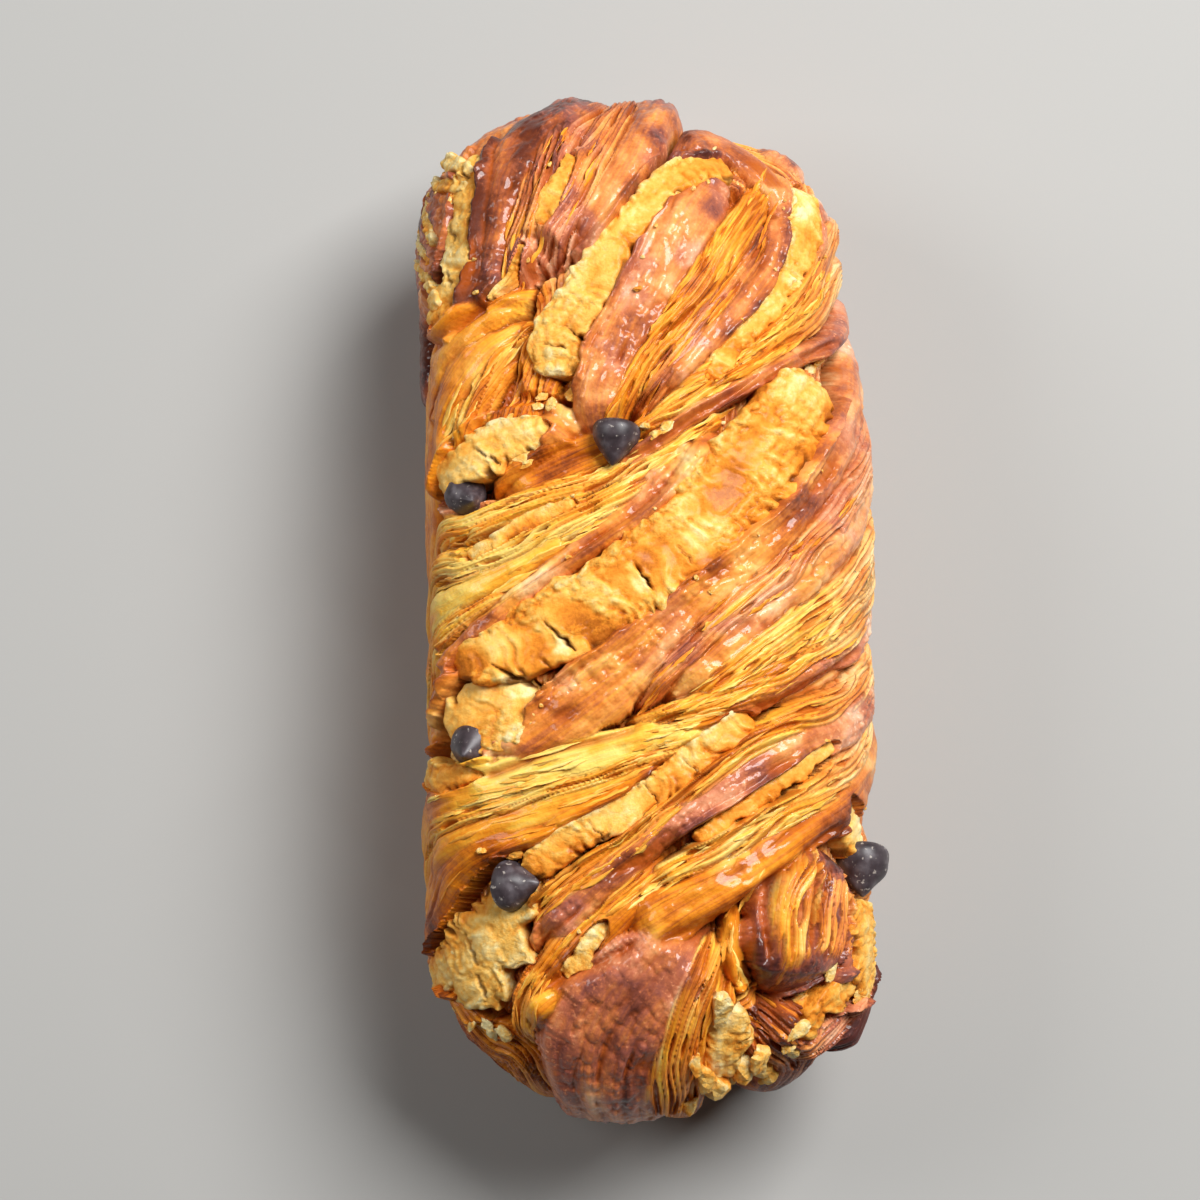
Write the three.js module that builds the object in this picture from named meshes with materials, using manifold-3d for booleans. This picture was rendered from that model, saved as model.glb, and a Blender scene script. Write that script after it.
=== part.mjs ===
// A halva babka: a laminated loaf baked in a tin, with ribbons of halva and chocolate chips.
// Millimetres, +Z up, long axis along Y, standing on its flat bottom with the origin at its middle.
// The dough is one baked piece: a domed core under the twisted strands that were laid over it.
// The halva runs down into the dough between the strands, and the chips are part sunk in both.

import * as THREE from 'three';
import { LoftGeometry } from 'three/addons/geometries/LoftGeometry.js';
import { mergeVertices } from 'three/addons/utils/BufferGeometryUtils.js';
import Module from 'manifold-3d';

// Core: a rounded bar that falls away from a short spine, with a wall that leans in to the base
const SPINE_HALF_WIDTH = 4;
const SPINE_HALF_LENGTH = 67;
const CORE_REACH = 36;
const CROWN_HEIGHT = 68;
const WIDEST_HEIGHT = 36;
const WALL_INSET = 2.5;
const TOE_RADIUS = 5;
const END_DROP = 0.08;
const PLAN_POWER = 3.2;
const DOME_POWER = 2.3;
const SECTION_DIVISIONS = 600;

// Strands: their arch over the core, how far they sink into it and how blunt their ends are
const STRAND_RISE = 6;
const STRAND_SINK = 4;
const STRAND_POWER = 0.75;
const STRAND_SIDES = 6;
const STRAND_STEP = 17;
const FEWEST_STEPS = 4;
const END_ROUND = 0.6;
const END_BLUNT = 0.15;

// Past the shoulder a strand runs on to its foot at the base, leaning along the wall as it goes
const SHOULDER = 40;
const END_SHOULDER = 104;
const FOOT = 92;
const WALL_LEAN = 0.9;
const MOST_LEAN = 1.4;
const STEEPEST = 4;

// Where the tin presses strands flat, as shares of the way down the core, and the corner that sank
const WALL_PRESS = 0.45;
const WALL_FROM = 0.55;
const WALL_FULL = 0.8;
const TOE_FROM = 0.88;
const CORNER_SINK = 0.6;
const SUNK_ACROSS = [2, 24];
const SUNK_ALONG = [25, 75];

// Halva: the share of its width that a ribbon keeps at its foot, and the gap between touching pieces
const HALVA_FOOT = 0.55;
const GAP = 0.3;

// Chip: a drop with a flat base. Its profile is in shares of the radius and the height, base first.
const CHIP_RADIUS = 5.2;
const CHIP_HEIGHT = 8.4;
const CHIP_SIDES = 14;
const CHIP_PROFILE = [
  [0, -0.42], [0.8, -0.42], [1, -0.26], [0.92, -0.02], [0.62, 0.22], [0.26, 0.46], [0, 0.58],
];

// Strands of dough, a row each: the crest's height over the core, then points on the strand's middle
// line. A point is [across, along, width]: millimetres over the core's surface from the middle of
// the crown, and the strand's width there. First the end with the cut edge of the roll showing.
const TOP_END = [
  [10, [-57, 46, 9], [-54.5, 72, 10], [-46, 95, 9]],
  [8, [-50, 97, 9], [-38, 103, 11], [-20, 110, 10]],
  [9.5, [-36, 52, 6], [-30.5, 71, 7], [-27, 90, 9], [-15, 110, 10]],
  [8.5, [-26, 62, 4], [-24.5, 78, 5], [-17, 97, 5], [-11, 112, 6]],
  [9, [-19, 67, 8], [-12, 80, 12], [-4.5, 94, 14], [0, 112, 16]],
  [6.5, [4, 90, 7], [13, 95.5, 8], [24, 96, 7]],
];

// The turn below it, which ends in a thin rolled lip over the next one
const FIRST_TURN = [
  [9.5, [-15, 31, 7], [-9, 43, 8], [3, 66, 10], [13, 79, 10], [22, 91, 8], [26, 106, 9]],
  [9, [-1, 40, 5], [10, 57, 9], [19, 69.5, 10], [25, 81, 10], [28, 93, 8]],
  [9, [3, 43, 4], [12, 50.5, 5], [21, 61.5, 5], [28, 75.5, 5], [30, 88, 5]],
  [8.5, [2, 34, 6], [14.5, 43, 9], [24, 51, 10], [33, 60, 10], [43, 72, 12]],
  [7, [36, 68, 7], [38, 77, 8], [40, 88, 8]],
  [9, [0, 27.5, 3], [12.5, 36, 3], [26.5, 46, 3], [44, 55, 4]],
  [3, [-26, 31, 7], [-23.5, 42, 8], [-21, 53, 6]],
  [8.5, [-52, 24, 10], [-47, 42, 12], [-38, 54, 8], [-25, 63, 5], [-18, 66, 4]],
  [7, [-43, 22, 7], [-38, 35, 10], [-32, 45.5, 10], [-25, 56, 7]],
  [5, [-44, 24, 4], [-43, 17, 4], [-36, 14.5, 4], [-29, 17, 3]],
  [5.5, [-31, 18, 5], [-22, 22.5, 8], [-13, 27, 8], [-3, 32, 5]],
];

// The broad middle turn, on both sides of the widest ribbon of halva
const SECOND_TURN = [
  [6.5, [-46, 9, 7], [-33, 12.5, 6], [-20, 17.5, 6], [-7.5, 21.5, 6], [3, 27.5, 5], [15, 35, 3]],
  [8, [-46, -4, 12], [-34, 0, 11], [-25, 4.5, 9], [-13, 12, 7], [4, 24, 4]],
  [7.5, [-48, -18, 8], [-40, -11, 6], [-33, -5.5, 5], [-22, 1.5, 4]],
  [7.5, [-47, -30, 6], [-41, -24.5, 5], [-33.5, -15, 4], [-26, -5, 4],
    [-11, 8, 5], [0, 17, 8], [14, 32, 5]],
  [9.5, [-30, -39, 7], [-20, -31.5, 10], [-7.5, -20.5, 11], [6, -7, 9],
    [17, 2.5, 8], [28, 15, 7], [44, 38, 8]],
  [9.5, [-4, -27, 4], [9, -13.5, 6], [20, -2.5, 7], [29, 6, 7], [37.5, 15.5, 7], [46, 26, 8]],
  [9, [3, -25, 4], [10.5, -17.5, 6], [21.5, -9, 7], [33, 1.5, 8], [46, 15, 10]],
  [9.5, [3, -28.5, 7], [17, -22, 12], [27, -13.5, 14], [37, -6, 14], [48, 4, 16]],
  [8.5, [12, -28.5, 3], [20, -26, 4], [25, -21.5, 4], [38.5, -14.5, 4], [48, -8, 6]],
];

// The last turn, whose glossy lip hangs over the tucked end
const THIRD_TURN = [
  [6.5, [21, -27, 4], [31, -23, 7], [38.5, -19, 8], [48, -15, 9]],
  [6.5, [-50, -46, 9], [-41, -44, 8], [-30, -42.5, 6], [-20, -39, 6], [-6, -35, 6], [14, -29, 4]],
  [8, [-49, -58, 13], [-39, -52.5, 12], [-28, -48.5, 10], [-15, -44.5, 9], [9, -34.5, 6]],
  [8, [-52, -72, 9], [-43, -65, 7], [-36, -59, 6], [-28, -54.5, 5], [-12, -50, 4]],
  [9, [-14, -62.5, 4], [-4, -55, 5], [6, -46, 6], [14, -39, 6], [26, -30, 6], [47, -20, 8]],
  [9, [-23, -77, 5], [-15, -68, 6], [-7.5, -60.5, 6], [6, -50, 5],
    [18.5, -41, 6], [31, -33, 6], [47, -25, 8]],
  [8.5, [-5, -69.5, 8], [6, -62.5, 10], [17, -56, 10], [28, -49, 9], [37, -41.5, 8], [47, -33, 9]],
  [9.5, [-6, -76, 6], [6, -69.5, 7], [18.5, -62, 7], [30, -52.5, 7], [39, -47, 7], [48, -39, 8]],
  [8, [-21, -97, 8], [-22, -87, 9], [-16, -77.5, 9], [-8, -69, 8], [3, -60, 6]],
];

// The tucked end: a dark bulb beside a folded lobe
const BOTTOM_END = [
  [9, [7, -75, 10], [-3, -81, 18], [-9, -91, 24], [-9, -110, 24]],
  [8.5, [14, -74, 7], [10.5, -84, 12], [7.5, -94, 13], [6, -110, 15]],
  [7.5, [16, -65, 4], [16, -75, 6], [18.5, -82, 6], [24, -88, 5]],
  [8, [19, -63, 5], [21, -72, 7], [25, -78, 7], [31, -82, 6]],
  [9.5, [26, -56, 10], [29, -66, 14], [30.5, -75, 13], [31.5, -82, 8]],
  [9, [37, -54, 6], [38.5, -64, 8], [37, -74, 7], [33.5, -82, 5]],
  [7.5, [42, -60, 5], [44.5, -70, 7], [44, -79, 7], [39, -86, 5]],
  [5, [22, -83, 8], [29, -89, 14], [36, -97, 14], [38, -110, 14]],
  [8.5, [52, -74, 8], [54, -86, 9], [48, -97, 9], [40, -106, 9]],
  [4.5, [-52, -84, 10], [-42, -94, 14], [-32, -101, 14], [-22, -110, 14]],
];

// What goes on down the corners, against the tin
const CORNERS = [
  [6.5, [45, -52, 8], [58, -42, 12], [74, -27, 13]],
  [6.5, [48, -66, 8], [60, -57, 13], [76, -42, 14]],
  [6.5, [56, -84, 8], [66, -74, 14], [80, -60, 14]],
  [6, [50, -97, 10], [58, -110, 14], [62, -130, 14]],
  [6, [-58, -76, 8], [-62, -92, 14], [-60, -118, 16]],
  [6, [-60, 60, 8], [-70, 46, 13], [-82, 32, 14]],
  [6, [-62, 84, 8], [-72, 70, 14], [-84, 56, 14]],
  [6, [-58, 98, 10], [-66, 112, 14], [-70, 130, 14]],
  [6, [42, 84, 9], [54, 92, 14], [66, 106, 16]],
  [6, [32, 98, 10], [42, 112, 15], [48, 130, 15]],
];

// Ribbons of halva by name: the crest's height, the depth below the core's surface, then points
const HALVA = {
  halva_cut_end: [9, 14, [-42, 53, 7], [-41, 68, 8], [-39, 82, 9], [-36, 93, 7]],
  halva_top_patch: [10, 6, [-20, 75, 3], [-18, 81, 4], [-15.5, 89, 3]],
  halva_upper: [8.5, 16, [-19, 49, 9], [-12.5, 61, 9], [-5, 73, 8], [5, 84, 7], [18, 90, 5]],
  halva_shoulder: [8, 14, [12, 42, 4], [18, 50.5, 5], [25.5, 59.5, 5],
    [32, 71, 6], [34.5, 80, 9], [33.5, 90, 7]],
  halva_left: [7.5, 12, [-39, 20.5, 7], [-33, 26, 9], [-26, 29.5, 9], [-18, 31.5, 6]],
  halva_strip: [7.5, 8, [-33, 5, 3], [-26, 9, 4], [-20, 13, 4], [-14, 16, 3]],
  halva_broad: [10.5, 18, [-34, -18, 8], [-22, -13, 14], [-6, -3, 17],
    [9, 10, 16], [19, 22, 18], [33, 44, 13]],
  halva_block: [9, 12, [-23, -22, 8], [-31, -27.5, 15], [-40, -33.5, 11]],
  halva_lower: [8.5, 16, [-22, -58.5, 6], [-14, -53.5, 7], [-4, -47.5, 7], [4, -41.5, 7], [19, -28.5, 6]],
  halva_flakes: [8.5, 10, [-24, -62, 8], [-29, -70, 14], [-35, -78, 18], [-44, -85, 15]],
  halva_thread: [8, 8, [9, -54, 3], [18.5, -47, 4], [28, -39.5, 4], [36, -33, 3]],
  halva_pocket: [6.5, 6, [-16.5, -80, 3], [-12.5, -76, 5], [-9, -71, 3]],
  halva_end: [7, 8, [16, -86, 6], [15.5, -93, 8], [17, -103, 9]],
  halva_edge: [7, 6, [40, -44, 4], [43, -50, 7], [45.5, -56, 5]],
  halva_wall: [8, 4, [51, -65, 4], [56, -72, 7], [58.5, -81, 5]],
  halva_corner: [6.5, 5, [43, -85, 6], [37, -88, 7], [32, -95, 6]],
};

// Chips: [across, along, height of the middle over the core], the way the tip points in the same
// directions (across, along, up) and the share of the full size
const CHIPS = {
  chip_upper: [[-8, 30.5, 8.2], [0.25, -0.8, 0.5], 1.0],
  chip_left: [[-36.8, 18.6, 6.2], [0.7, -0.3, 0.5], 0.82],
  chip_block: [[-35.5, -34.6, 7.2], [0.3, -0.5, 0.8], 0.92],
  chip_lower: [[-24, -63.4, 8.2], [0.75, 0.2, 0.55], 1.05],
  chip_edge: [[53, -60, 8], [0.2, -0.6, 0.7], 1.0],
};

const DOUGH_FINISH = { color: '#c07a35', roughness: 0.5, metalness: 0 };
const HALVA_FINISH = { color: '#eec66c', roughness: 0.8, metalness: 0 };
const CHIP_FINISH = { color: '#2c1a1c', roughness: 0.35, metalness: 0 };

const wasm = await Module();
wasm.setup();

// Upright half section of the core: x is the reach from the spine and y the height, from the crown
// over the dome (a quarter of a superellipse) down the leaning wall and round the toe to the base
class CoreSection extends THREE.Curve {
  getPoint(t, target = new THREE.Vector2()) {
    const DOME_END = 0.6;
    const WALL_END = 0.92;
    const foot = CORE_REACH - WALL_INSET;
    if (t < DOME_END) {
      const turn = (t / DOME_END) * Math.PI / 2;
      const rise = (CROWN_HEIGHT - WIDEST_HEIGHT) * Math.cos(turn) ** (2 / DOME_POWER);
      return target.set(CORE_REACH * Math.sin(turn) ** (2 / DOME_POWER), WIDEST_HEIGHT + rise);
    }
    if (t < WALL_END) {
      const down = (t - DOME_END) / (WALL_END - DOME_END);
      const height = THREE.MathUtils.lerp(WIDEST_HEIGHT, TOE_RADIUS, down);
      return target.set(CORE_REACH - WALL_INSET * down, height);
    }
    const turn = ((t - WALL_END) / (1 - WALL_END)) * Math.PI / 2;
    return target.set(foot - TOE_RADIUS * (1 - Math.cos(turn)), TOE_RADIUS * (1 - Math.sin(turn)));
  }
}

const section = new CoreSection();
section.arcLengthDivisions = SECTION_DIVISIONS;
const SECTION_LENGTH = section.getLength();

// Distance from the spine over the core's surface
function fromSpine(across, along) {
  const x = Math.max(Math.abs(across) - SPINE_HALF_WIDTH, 0);
  const y = Math.max(Math.abs(along) - SPINE_HALF_LENGTH, 0);
  return (x ** PLAN_POWER + y ** PLAN_POWER) ** (1 / PLAN_POWER);
}

// Point on the core: (across, along) are laid off over its surface from the middle of the crown
function onCore(across, along) {
  const spineX = THREE.MathUtils.clamp(across, -SPINE_HALF_WIDTH, SPINE_HALF_WIDTH);
  const spineY = THREE.MathUtils.clamp(along, -SPINE_HALF_LENGTH, SPINE_HALF_LENGTH);
  const x = across - spineX;
  const y = along - spineY;
  const distance = fromSpine(across, along);
  const { x: reach, y: height } = section.getPointAt(Math.min(distance / SECTION_LENGTH, 1));
  const share = distance > 0 ? reach / distance : 0;
  const point = new THREE.Vector3(spineX + x * share, spineY + y * share, height);
  point.z *= 1 - END_DROP * (point.y / (SPINE_HALF_LENGTH + CORE_REACH)) ** 2;
  return point;
}

// Outward direction of the core there
function coreNormal(across, along) {
  const NEAR = 0.5;
  const overX = onCore(across + NEAR, along).sub(onCore(across - NEAR, along));
  const overY = onCore(across, along + NEAR).sub(onCore(across, along - NEAR));
  return overX.cross(overY).normalize();
}

function aboveCore(across, along, height) {
  return onCore(across, along).addScaledVector(coreNormal(across, along), height);
}

const signedPower = (value, power) => Math.sign(value) * Math.abs(value) ** power;

// Geometry and solids change places through these two: only positions are kept, and triangles that
// closed up when points were merged are dropped
const WELD = 1e-4;

function toSolid(geometry) {
  const bare = new THREE.BufferGeometry();
  bare.setAttribute('position', geometry.attributes.position);
  bare.setIndex(geometry.index);
  const merged = mergeVertices(bare, WELD);
  const vertProperties = new Float32Array(merged.attributes.position.array);
  const corners = Array.from(merged.index.array);
  const kept = [];
  for (let i = 0; i < corners.length; i += 3) {
    const [p, q, r] = corners.slice(i, i + 3);
    if (p !== q && q !== r && r !== p) kept.push(p, q, r);
  }
  const triVerts = new Uint32Array(kept);
  return new wasm.Manifold(new wasm.Mesh({ numProp: 3, vertProperties, triVerts }));
}

function toGeometry(solid) {
  const mesh = solid.getMesh();
  const geometry = new THREE.BufferGeometry();
  geometry.setAttribute('position', new THREE.BufferAttribute(mesh.vertProperties, 3));
  geometry.setIndex(new THREE.BufferAttribute(mesh.triVerts, 1));
  return geometry;
}

// The largest body of a solid: loose scraps and sealed hollows are left behind
function mainBody(solid) {
  return solid.decompose().reduce((best, body) => (body.volume() > best.volume() ? body : best));
}

// A skin through closed sections, with each end drawn together to the middle of its last section
function closedLoft(sections) {
  const drawn = (ring) => {
    const middle = ring.reduce((sum, point) => sum.add(point), new THREE.Vector3());
    return ring.map(() => middle.clone().divideScalar(ring.length));
  };
  return toSolid(new LoftGeometry([drawn(sections[0]), ...sections, drawn(sections.at(-1))]));
}

// Outline of the core's base over its surface, clockwise from above: four rounded corners, with
// the two long sides divided between them
function baseOutline() {
  const CORNER_STEPS = 5;
  const SIDE_STEPS = 8;
  const outline = [];
  for (const [sideX, sideY] of [[1, -1], [-1, -1], [-1, 1], [1, 1]]) {
    const startsAtSide = sideX * sideY < 0;
    for (let step = 0; step <= CORNER_STEPS; step++) {
      const share = startsAtSide ? step / CORNER_STEPS : 1 - step / CORNER_STEPS;
      const turn = (share * Math.PI) / 2;
      outline.push(new THREE.Vector2(
        sideX * (SPINE_HALF_WIDTH + SECTION_LENGTH * Math.cos(turn) ** (2 / PLAN_POWER)),
        sideY * (SPINE_HALF_LENGTH + SECTION_LENGTH * Math.sin(turn) ** (2 / PLAN_POWER)),
      ));
    }
    if (startsAtSide) continue;
    const { x, y } = outline.at(-1);
    for (let step = 1; step < SIDE_STEPS; step++) {
      outline.push(new THREE.Vector2(x, y * (1 - (2 * step) / SIDE_STEPS)));
    }
  }
  return outline;
}

function coreSolid() {
  const RINGS = [0.06, 0.2, 0.34, 0.46, 0.58, 0.7, 0.82, 0.92, 0.96, 1];
  const outline = baseOutline();
  return closedLoft(RINGS.map((share) => outline.map((p) => onCore(p.x * share, p.y * share))));
}

// Where a strand that heads over the shoulder or the end of the loaf meets the base, if it does
function footOf([across, along, width], [acrossBefore, alongBefore]) {
  if (Math.abs(along) > END_SHOULDER) {
    return [[across, Math.sign(along) * (SPINE_HALF_LENGTH + FOOT), width]];
  }
  const outward = Math.abs(across) - Math.abs(acrossBefore);
  const heading = (along - alongBefore) / outward;
  if (Math.abs(across) < SHOULDER || outward < 0 || Math.abs(heading) > STEEPEST) return [];
  const side = Math.sign(across);
  const lean = (THREE.MathUtils.clamp(heading, -MOST_LEAN, MOST_LEAN) + side * WALL_LEAN) / 2;
  const down = FOOT + SPINE_HALF_WIDTH - Math.abs(across);
  return [[across + side * down, along + lean * down, width]];
}

function wholeRoute(points) {
  return [...footOf(points[0], points[1]), ...points, ...footOf(points.at(-1), points.at(-2))];
}

// The share of its height that a strand keeps: less on the wall, none at the toe, and less where
// the corner at +X +Y sank
function standing(across, along) {
  const { smoothstep } = THREE.MathUtils;
  const down = fromSpine(across, along) / SECTION_LENGTH;
  const wall = 1 - WALL_PRESS * smoothstep(down, WALL_FROM, WALL_FULL);
  const toe = 1 - smoothstep(down, TOE_FROM, 1);
  const sunk = CORNER_SINK * smoothstep(across, ...SUNK_ACROSS) * smoothstep(along, ...SUNK_ALONG);
  return wall * toe * (1 - sunk);
}

// A rounded bar along a route: an arch over the core and a keel in it, blunt at both ends.
// A grown bar is larger by the gap on every side.
function bar(route, { crest, rise, keel, keelShare = 1, grow = 0 }) {
  const line = new THREE.CatmullRomCurve3(
    route.map((point) => new THREE.Vector3(...point)), false, 'catmullrom', 0.5,
  );
  const length = line.getLength();
  const steps = Math.max(FEWEST_STEPS, Math.ceil(length / STRAND_STEP));
  const sections = [];
  for (let i = 0; i <= steps; i++) {
    const share = i / steps;
    const middle = line.getPointAt(share);
    const way = line.getTangentAt(share).setZ(0).normalize();
    const fromEnd = Math.min(share, 1 - share) * length;
    const blunt = Math.min(1, Math.sqrt(END_BLUNT + fromEnd / (END_ROUND * middle.z)));
    const top = crest * standing(middle.x, middle.y) - rise;
    const half = (middle.z * blunt) / 2;
    const ends = i === 0 ? -grow : i === steps ? grow : 0;
    const ring = [];
    for (let side = 0; side < STRAND_SIDES; side++) {
      const turn = (2 * Math.PI * side) / STRAND_SIDES;
      const lean = Math.sin(turn) < 0 ? keelShare : 1;
      const offset = (half * lean + grow) * signedPower(Math.cos(turn), STRAND_POWER);
      const lift = signedPower(Math.sin(turn), STRAND_POWER);
      const height = top + (lift > 0 ? rise * blunt + grow : keel + grow) * lift;
      ring.push(aboveCore(
        middle.x - way.y * offset + way.x * ends,
        middle.y + way.x * offset + way.y * ends,
        height,
      ));
    }
    sections.push(ring);
  }
  return closedLoft(sections);
}

function strandSolid([crest, ...points]) {
  const rise = Math.min(STRAND_RISE, crest);
  return bar(wholeRoute(points), { crest, rise, keel: crest - rise + STRAND_SINK });
}

function halvaSolid([crest, depth, ...points], grow = 0) {
  const rise = STRAND_RISE;
  return bar(points, { crest, rise, keel: crest - rise + depth, keelShare: HALVA_FOOT, grow });
}

// Drop of chocolate about its own middle, tip along +Y
function chipGeometry(size, grow = 0) {
  const radius = CHIP_RADIUS * size + grow;
  const height = CHIP_HEIGHT * size + 2 * grow;
  const profile = CHIP_PROFILE.map(([r, y]) => new THREE.Vector2(r * radius, y * height));
  return new THREE.LatheGeometry(profile, CHIP_SIDES);
}

function placeChip(mesh, [[across, along, height], [tipAcross, tipAlong, tipUp]]) {
  const up = coreNormal(across, along);
  const right = onCore(across + 1, along).sub(onCore(across - 1, along)).normalize();
  const forward = new THREE.Vector3().crossVectors(up, right);
  const tip = new THREE.Vector3()
    .addScaledVector(right, tipAcross)
    .addScaledVector(forward, tipAlong)
    .addScaledVector(up, tipUp)
    .normalize();
  mesh.position.copy(aboveCore(across, along, height));
  mesh.quaternion.setFromUnitVectors(new THREE.Vector3(0, 1, 0), tip);
  mesh.updateMatrix();
}

function namedMesh(name, geometry, finish) {
  const mesh = new THREE.Mesh(geometry, new THREE.MeshStandardMaterial(finish));
  mesh.name = name;
  return mesh;
}

const babka = new THREE.Group();

// Chips first, because halva and dough are cut clear of them
let taken = null;
const take = (solid) => {
  taken = taken ? taken.add(solid) : solid;
};
for (const [name, row] of Object.entries(CHIPS)) {
  const size = row[2];
  const chip = namedMesh(name, chipGeometry(size), CHIP_FINISH);
  placeChip(chip, row);
  babka.add(chip);
  take(toSolid(chipGeometry(size, GAP).applyMatrix4(chip.matrix)));
}

// Each ribbon of halva gives way to the chips and to the ribbons before it
for (const [name, row] of Object.entries(HALVA)) {
  const ribbon = mainBody(halvaSolid(row).subtract(taken));
  babka.add(namedMesh(name, toGeometry(ribbon), HALVA_FINISH));
  take(halvaSolid(row, GAP));
}

// The dough is the core with every strand, cut flat at the base and clear of all the rest
const UNDER_WIDTH = 400;
const UNDER_DEPTH = 60;
const under = new THREE.BoxGeometry(UNDER_WIDTH, UNDER_WIDTH, UNDER_DEPTH);
under.translate(0, 0, -UNDER_DEPTH / 2);
let dough = coreSolid();
const strands = [TOP_END, FIRST_TURN, SECOND_TURN, THIRD_TURN, BOTTOM_END, CORNERS].flat();
for (const row of strands) dough = dough.add(strandSolid(row));
dough = mainBody(mainBody(dough.subtract(toSolid(under))).subtract(taken));
babka.add(namedMesh('dough', toGeometry(dough), DOUGH_FINISH));

export default babka;
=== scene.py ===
import math

import bpy
import numpy as np
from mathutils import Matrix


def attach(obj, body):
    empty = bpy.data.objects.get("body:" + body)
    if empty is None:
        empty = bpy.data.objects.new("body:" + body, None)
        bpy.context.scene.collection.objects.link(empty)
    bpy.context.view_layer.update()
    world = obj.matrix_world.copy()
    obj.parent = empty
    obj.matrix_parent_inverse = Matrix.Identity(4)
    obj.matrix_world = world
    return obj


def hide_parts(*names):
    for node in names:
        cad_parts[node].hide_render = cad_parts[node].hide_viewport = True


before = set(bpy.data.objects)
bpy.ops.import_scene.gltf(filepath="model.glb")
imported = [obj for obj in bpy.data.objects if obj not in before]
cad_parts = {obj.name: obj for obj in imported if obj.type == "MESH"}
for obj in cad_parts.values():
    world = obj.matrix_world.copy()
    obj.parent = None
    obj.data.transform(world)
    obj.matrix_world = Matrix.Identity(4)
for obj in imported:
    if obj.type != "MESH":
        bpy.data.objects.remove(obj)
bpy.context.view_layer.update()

# The body of the loaf: laminated dough that rose in a tin. The tin's walls and bottom pressed it
# flat, and the top rose into a dome. Everything is laid off over this body, in millimetres across
# and along its surface from the middle of the crown.
MM = 0.001
TINY = 1e-12
SPINE_HALF_WIDTH = 4.0
SPINE_HALF_LENGTH = 67.0
CORE_REACH = 36.0
CROWN_HEIGHT = 68.0
WIDEST_HEIGHT = 36.0
WALL_INSET = 2.5
TOE_RADIUS = 5.0
END_DROP = 0.08
PLAN_POWER = 3.2
DOME_POWER = 2.3
SECTION_POINTS = 500
NORMAL_STEP = 0.5


def half_section():
    """Upright half section of the body, as distance down its surface, reach from the spine and height:
    a quarter of a superellipse for the dome, a straight leaning wall, a quarter circle for the toe."""
    turn = np.linspace(0, np.pi / 2, SECTION_POINTS)
    sine, cosine = np.sin(turn), np.clip(np.cos(turn), 0, 1)
    dome_reach = CORE_REACH * sine ** (2 / DOME_POWER)
    dome_height = WIDEST_HEIGHT + (CROWN_HEIGHT - WIDEST_HEIGHT) * cosine ** (2 / DOME_POWER)
    reach = np.concatenate([dome_reach, CORE_REACH - WALL_INSET - TOE_RADIUS * (1 - cosine)])
    height = np.concatenate([dome_height, TOE_RADIUS * (1 - sine)])
    steps = np.hypot(np.diff(reach), np.diff(height))
    return np.concatenate([[0], np.cumsum(steps)]), reach, height


section_distance, section_reach, section_height = half_section()
SECTION_LENGTH = section_distance[-1]


def from_spine(across, along):
    """Distance from the spine over the surface: a superellipse's radius about the spine's ends."""
    x = np.maximum(np.abs(across) - SPINE_HALF_WIDTH, 0)
    y = np.maximum(np.abs(along) - SPINE_HALF_LENGTH, 0)
    return (x**PLAN_POWER + y**PLAN_POWER) ** (1 / PLAN_POWER)


def on_body(across, along):
    """Points on the body: the nearest point of the spine, moved out by the section's reach in the
    direction of (across, along), at the section's height, which drops a little towards both ends."""
    spine_x = np.clip(across, -SPINE_HALF_WIDTH, SPINE_HALF_WIDTH)
    spine_y = np.clip(along, -SPINE_HALF_LENGTH, SPINE_HALF_LENGTH)
    distance = from_spine(across, along)
    share = np.interp(distance, section_distance, section_reach) / np.maximum(distance, TINY)
    x = spine_x + (across - spine_x) * share
    y = spine_y + (along - spine_y) * share
    drop = 1 - END_DROP * (y / (SPINE_HALF_LENGTH + CORE_REACH)) ** 2
    return np.stack([x, y, np.interp(distance, section_distance, section_height) * drop], -1)


def unit(vectors):
    """Vectors divided by their lengths. A zero vector stays zero."""
    return vectors / np.maximum(np.linalg.norm(vectors, axis=-1, keepdims=True), TINY)


def body_normal(across, along):
    """Outward direction of the body: the cross product of its steps across and along."""
    over_x = on_body(across + NORMAL_STEP, along) - on_body(across - NORMAL_STEP, along)
    over_y = on_body(across, along + NORMAL_STEP) - on_body(across, along - NORMAL_STEP)
    return unit(np.cross(over_x, over_y))


def above_body(across, along, height):
    """Points at a height over the body, along its outward direction, never below the base."""
    points = on_body(across, along) + body_normal(across, along) * np.asarray(height)[..., None]
    points[..., 2] = np.maximum(points[..., 2], 0)
    return points


# The dough: one piece, rolled up with its filling, split and twisted, so its surface is strands that
# run over the loaf side by side. A row is the kind of surface, its browning, the crest's height
# over the body, then points of the middle line as [across, along, width].
TOP_END = [
    ("crust", 0.8, 11, [-66, 38, 12], [-63, 68, 12], [-56, 88, 10], [-47, 101, 8]),
    ("crust", 0.62, 10.2, [-47, 57, 5], [-50, 66, 11], [-49, 80, 17], [-46, 92, 16], [-42, 101, 9]),
    ("crust", 0.55, 8, [-50, 99, 9], [-38, 105, 10], [-22, 110, 10]),
    ("crust", 0.92, 9.5, [-34, 54, 6], [-31, 73, 7], [-29.5, 86, 8], [-26, 97, 10], [-19, 110, 11]),
    ("flake", 0.62, 8.5, [-26, 62, 5], [-24, 78, 6], [-18.5, 96, 7], [-12, 112, 8]),
    ("flake", 0.56, 9, [-21, 66, 5], [-15, 80, 7], [-8.5, 96, 8], [-4, 112, 9]),
    ("crust", 0.58, 9, [-15, 68, 4], [-8, 80, 6], [-1.5, 93, 8], [3, 112, 9]),
]
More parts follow.
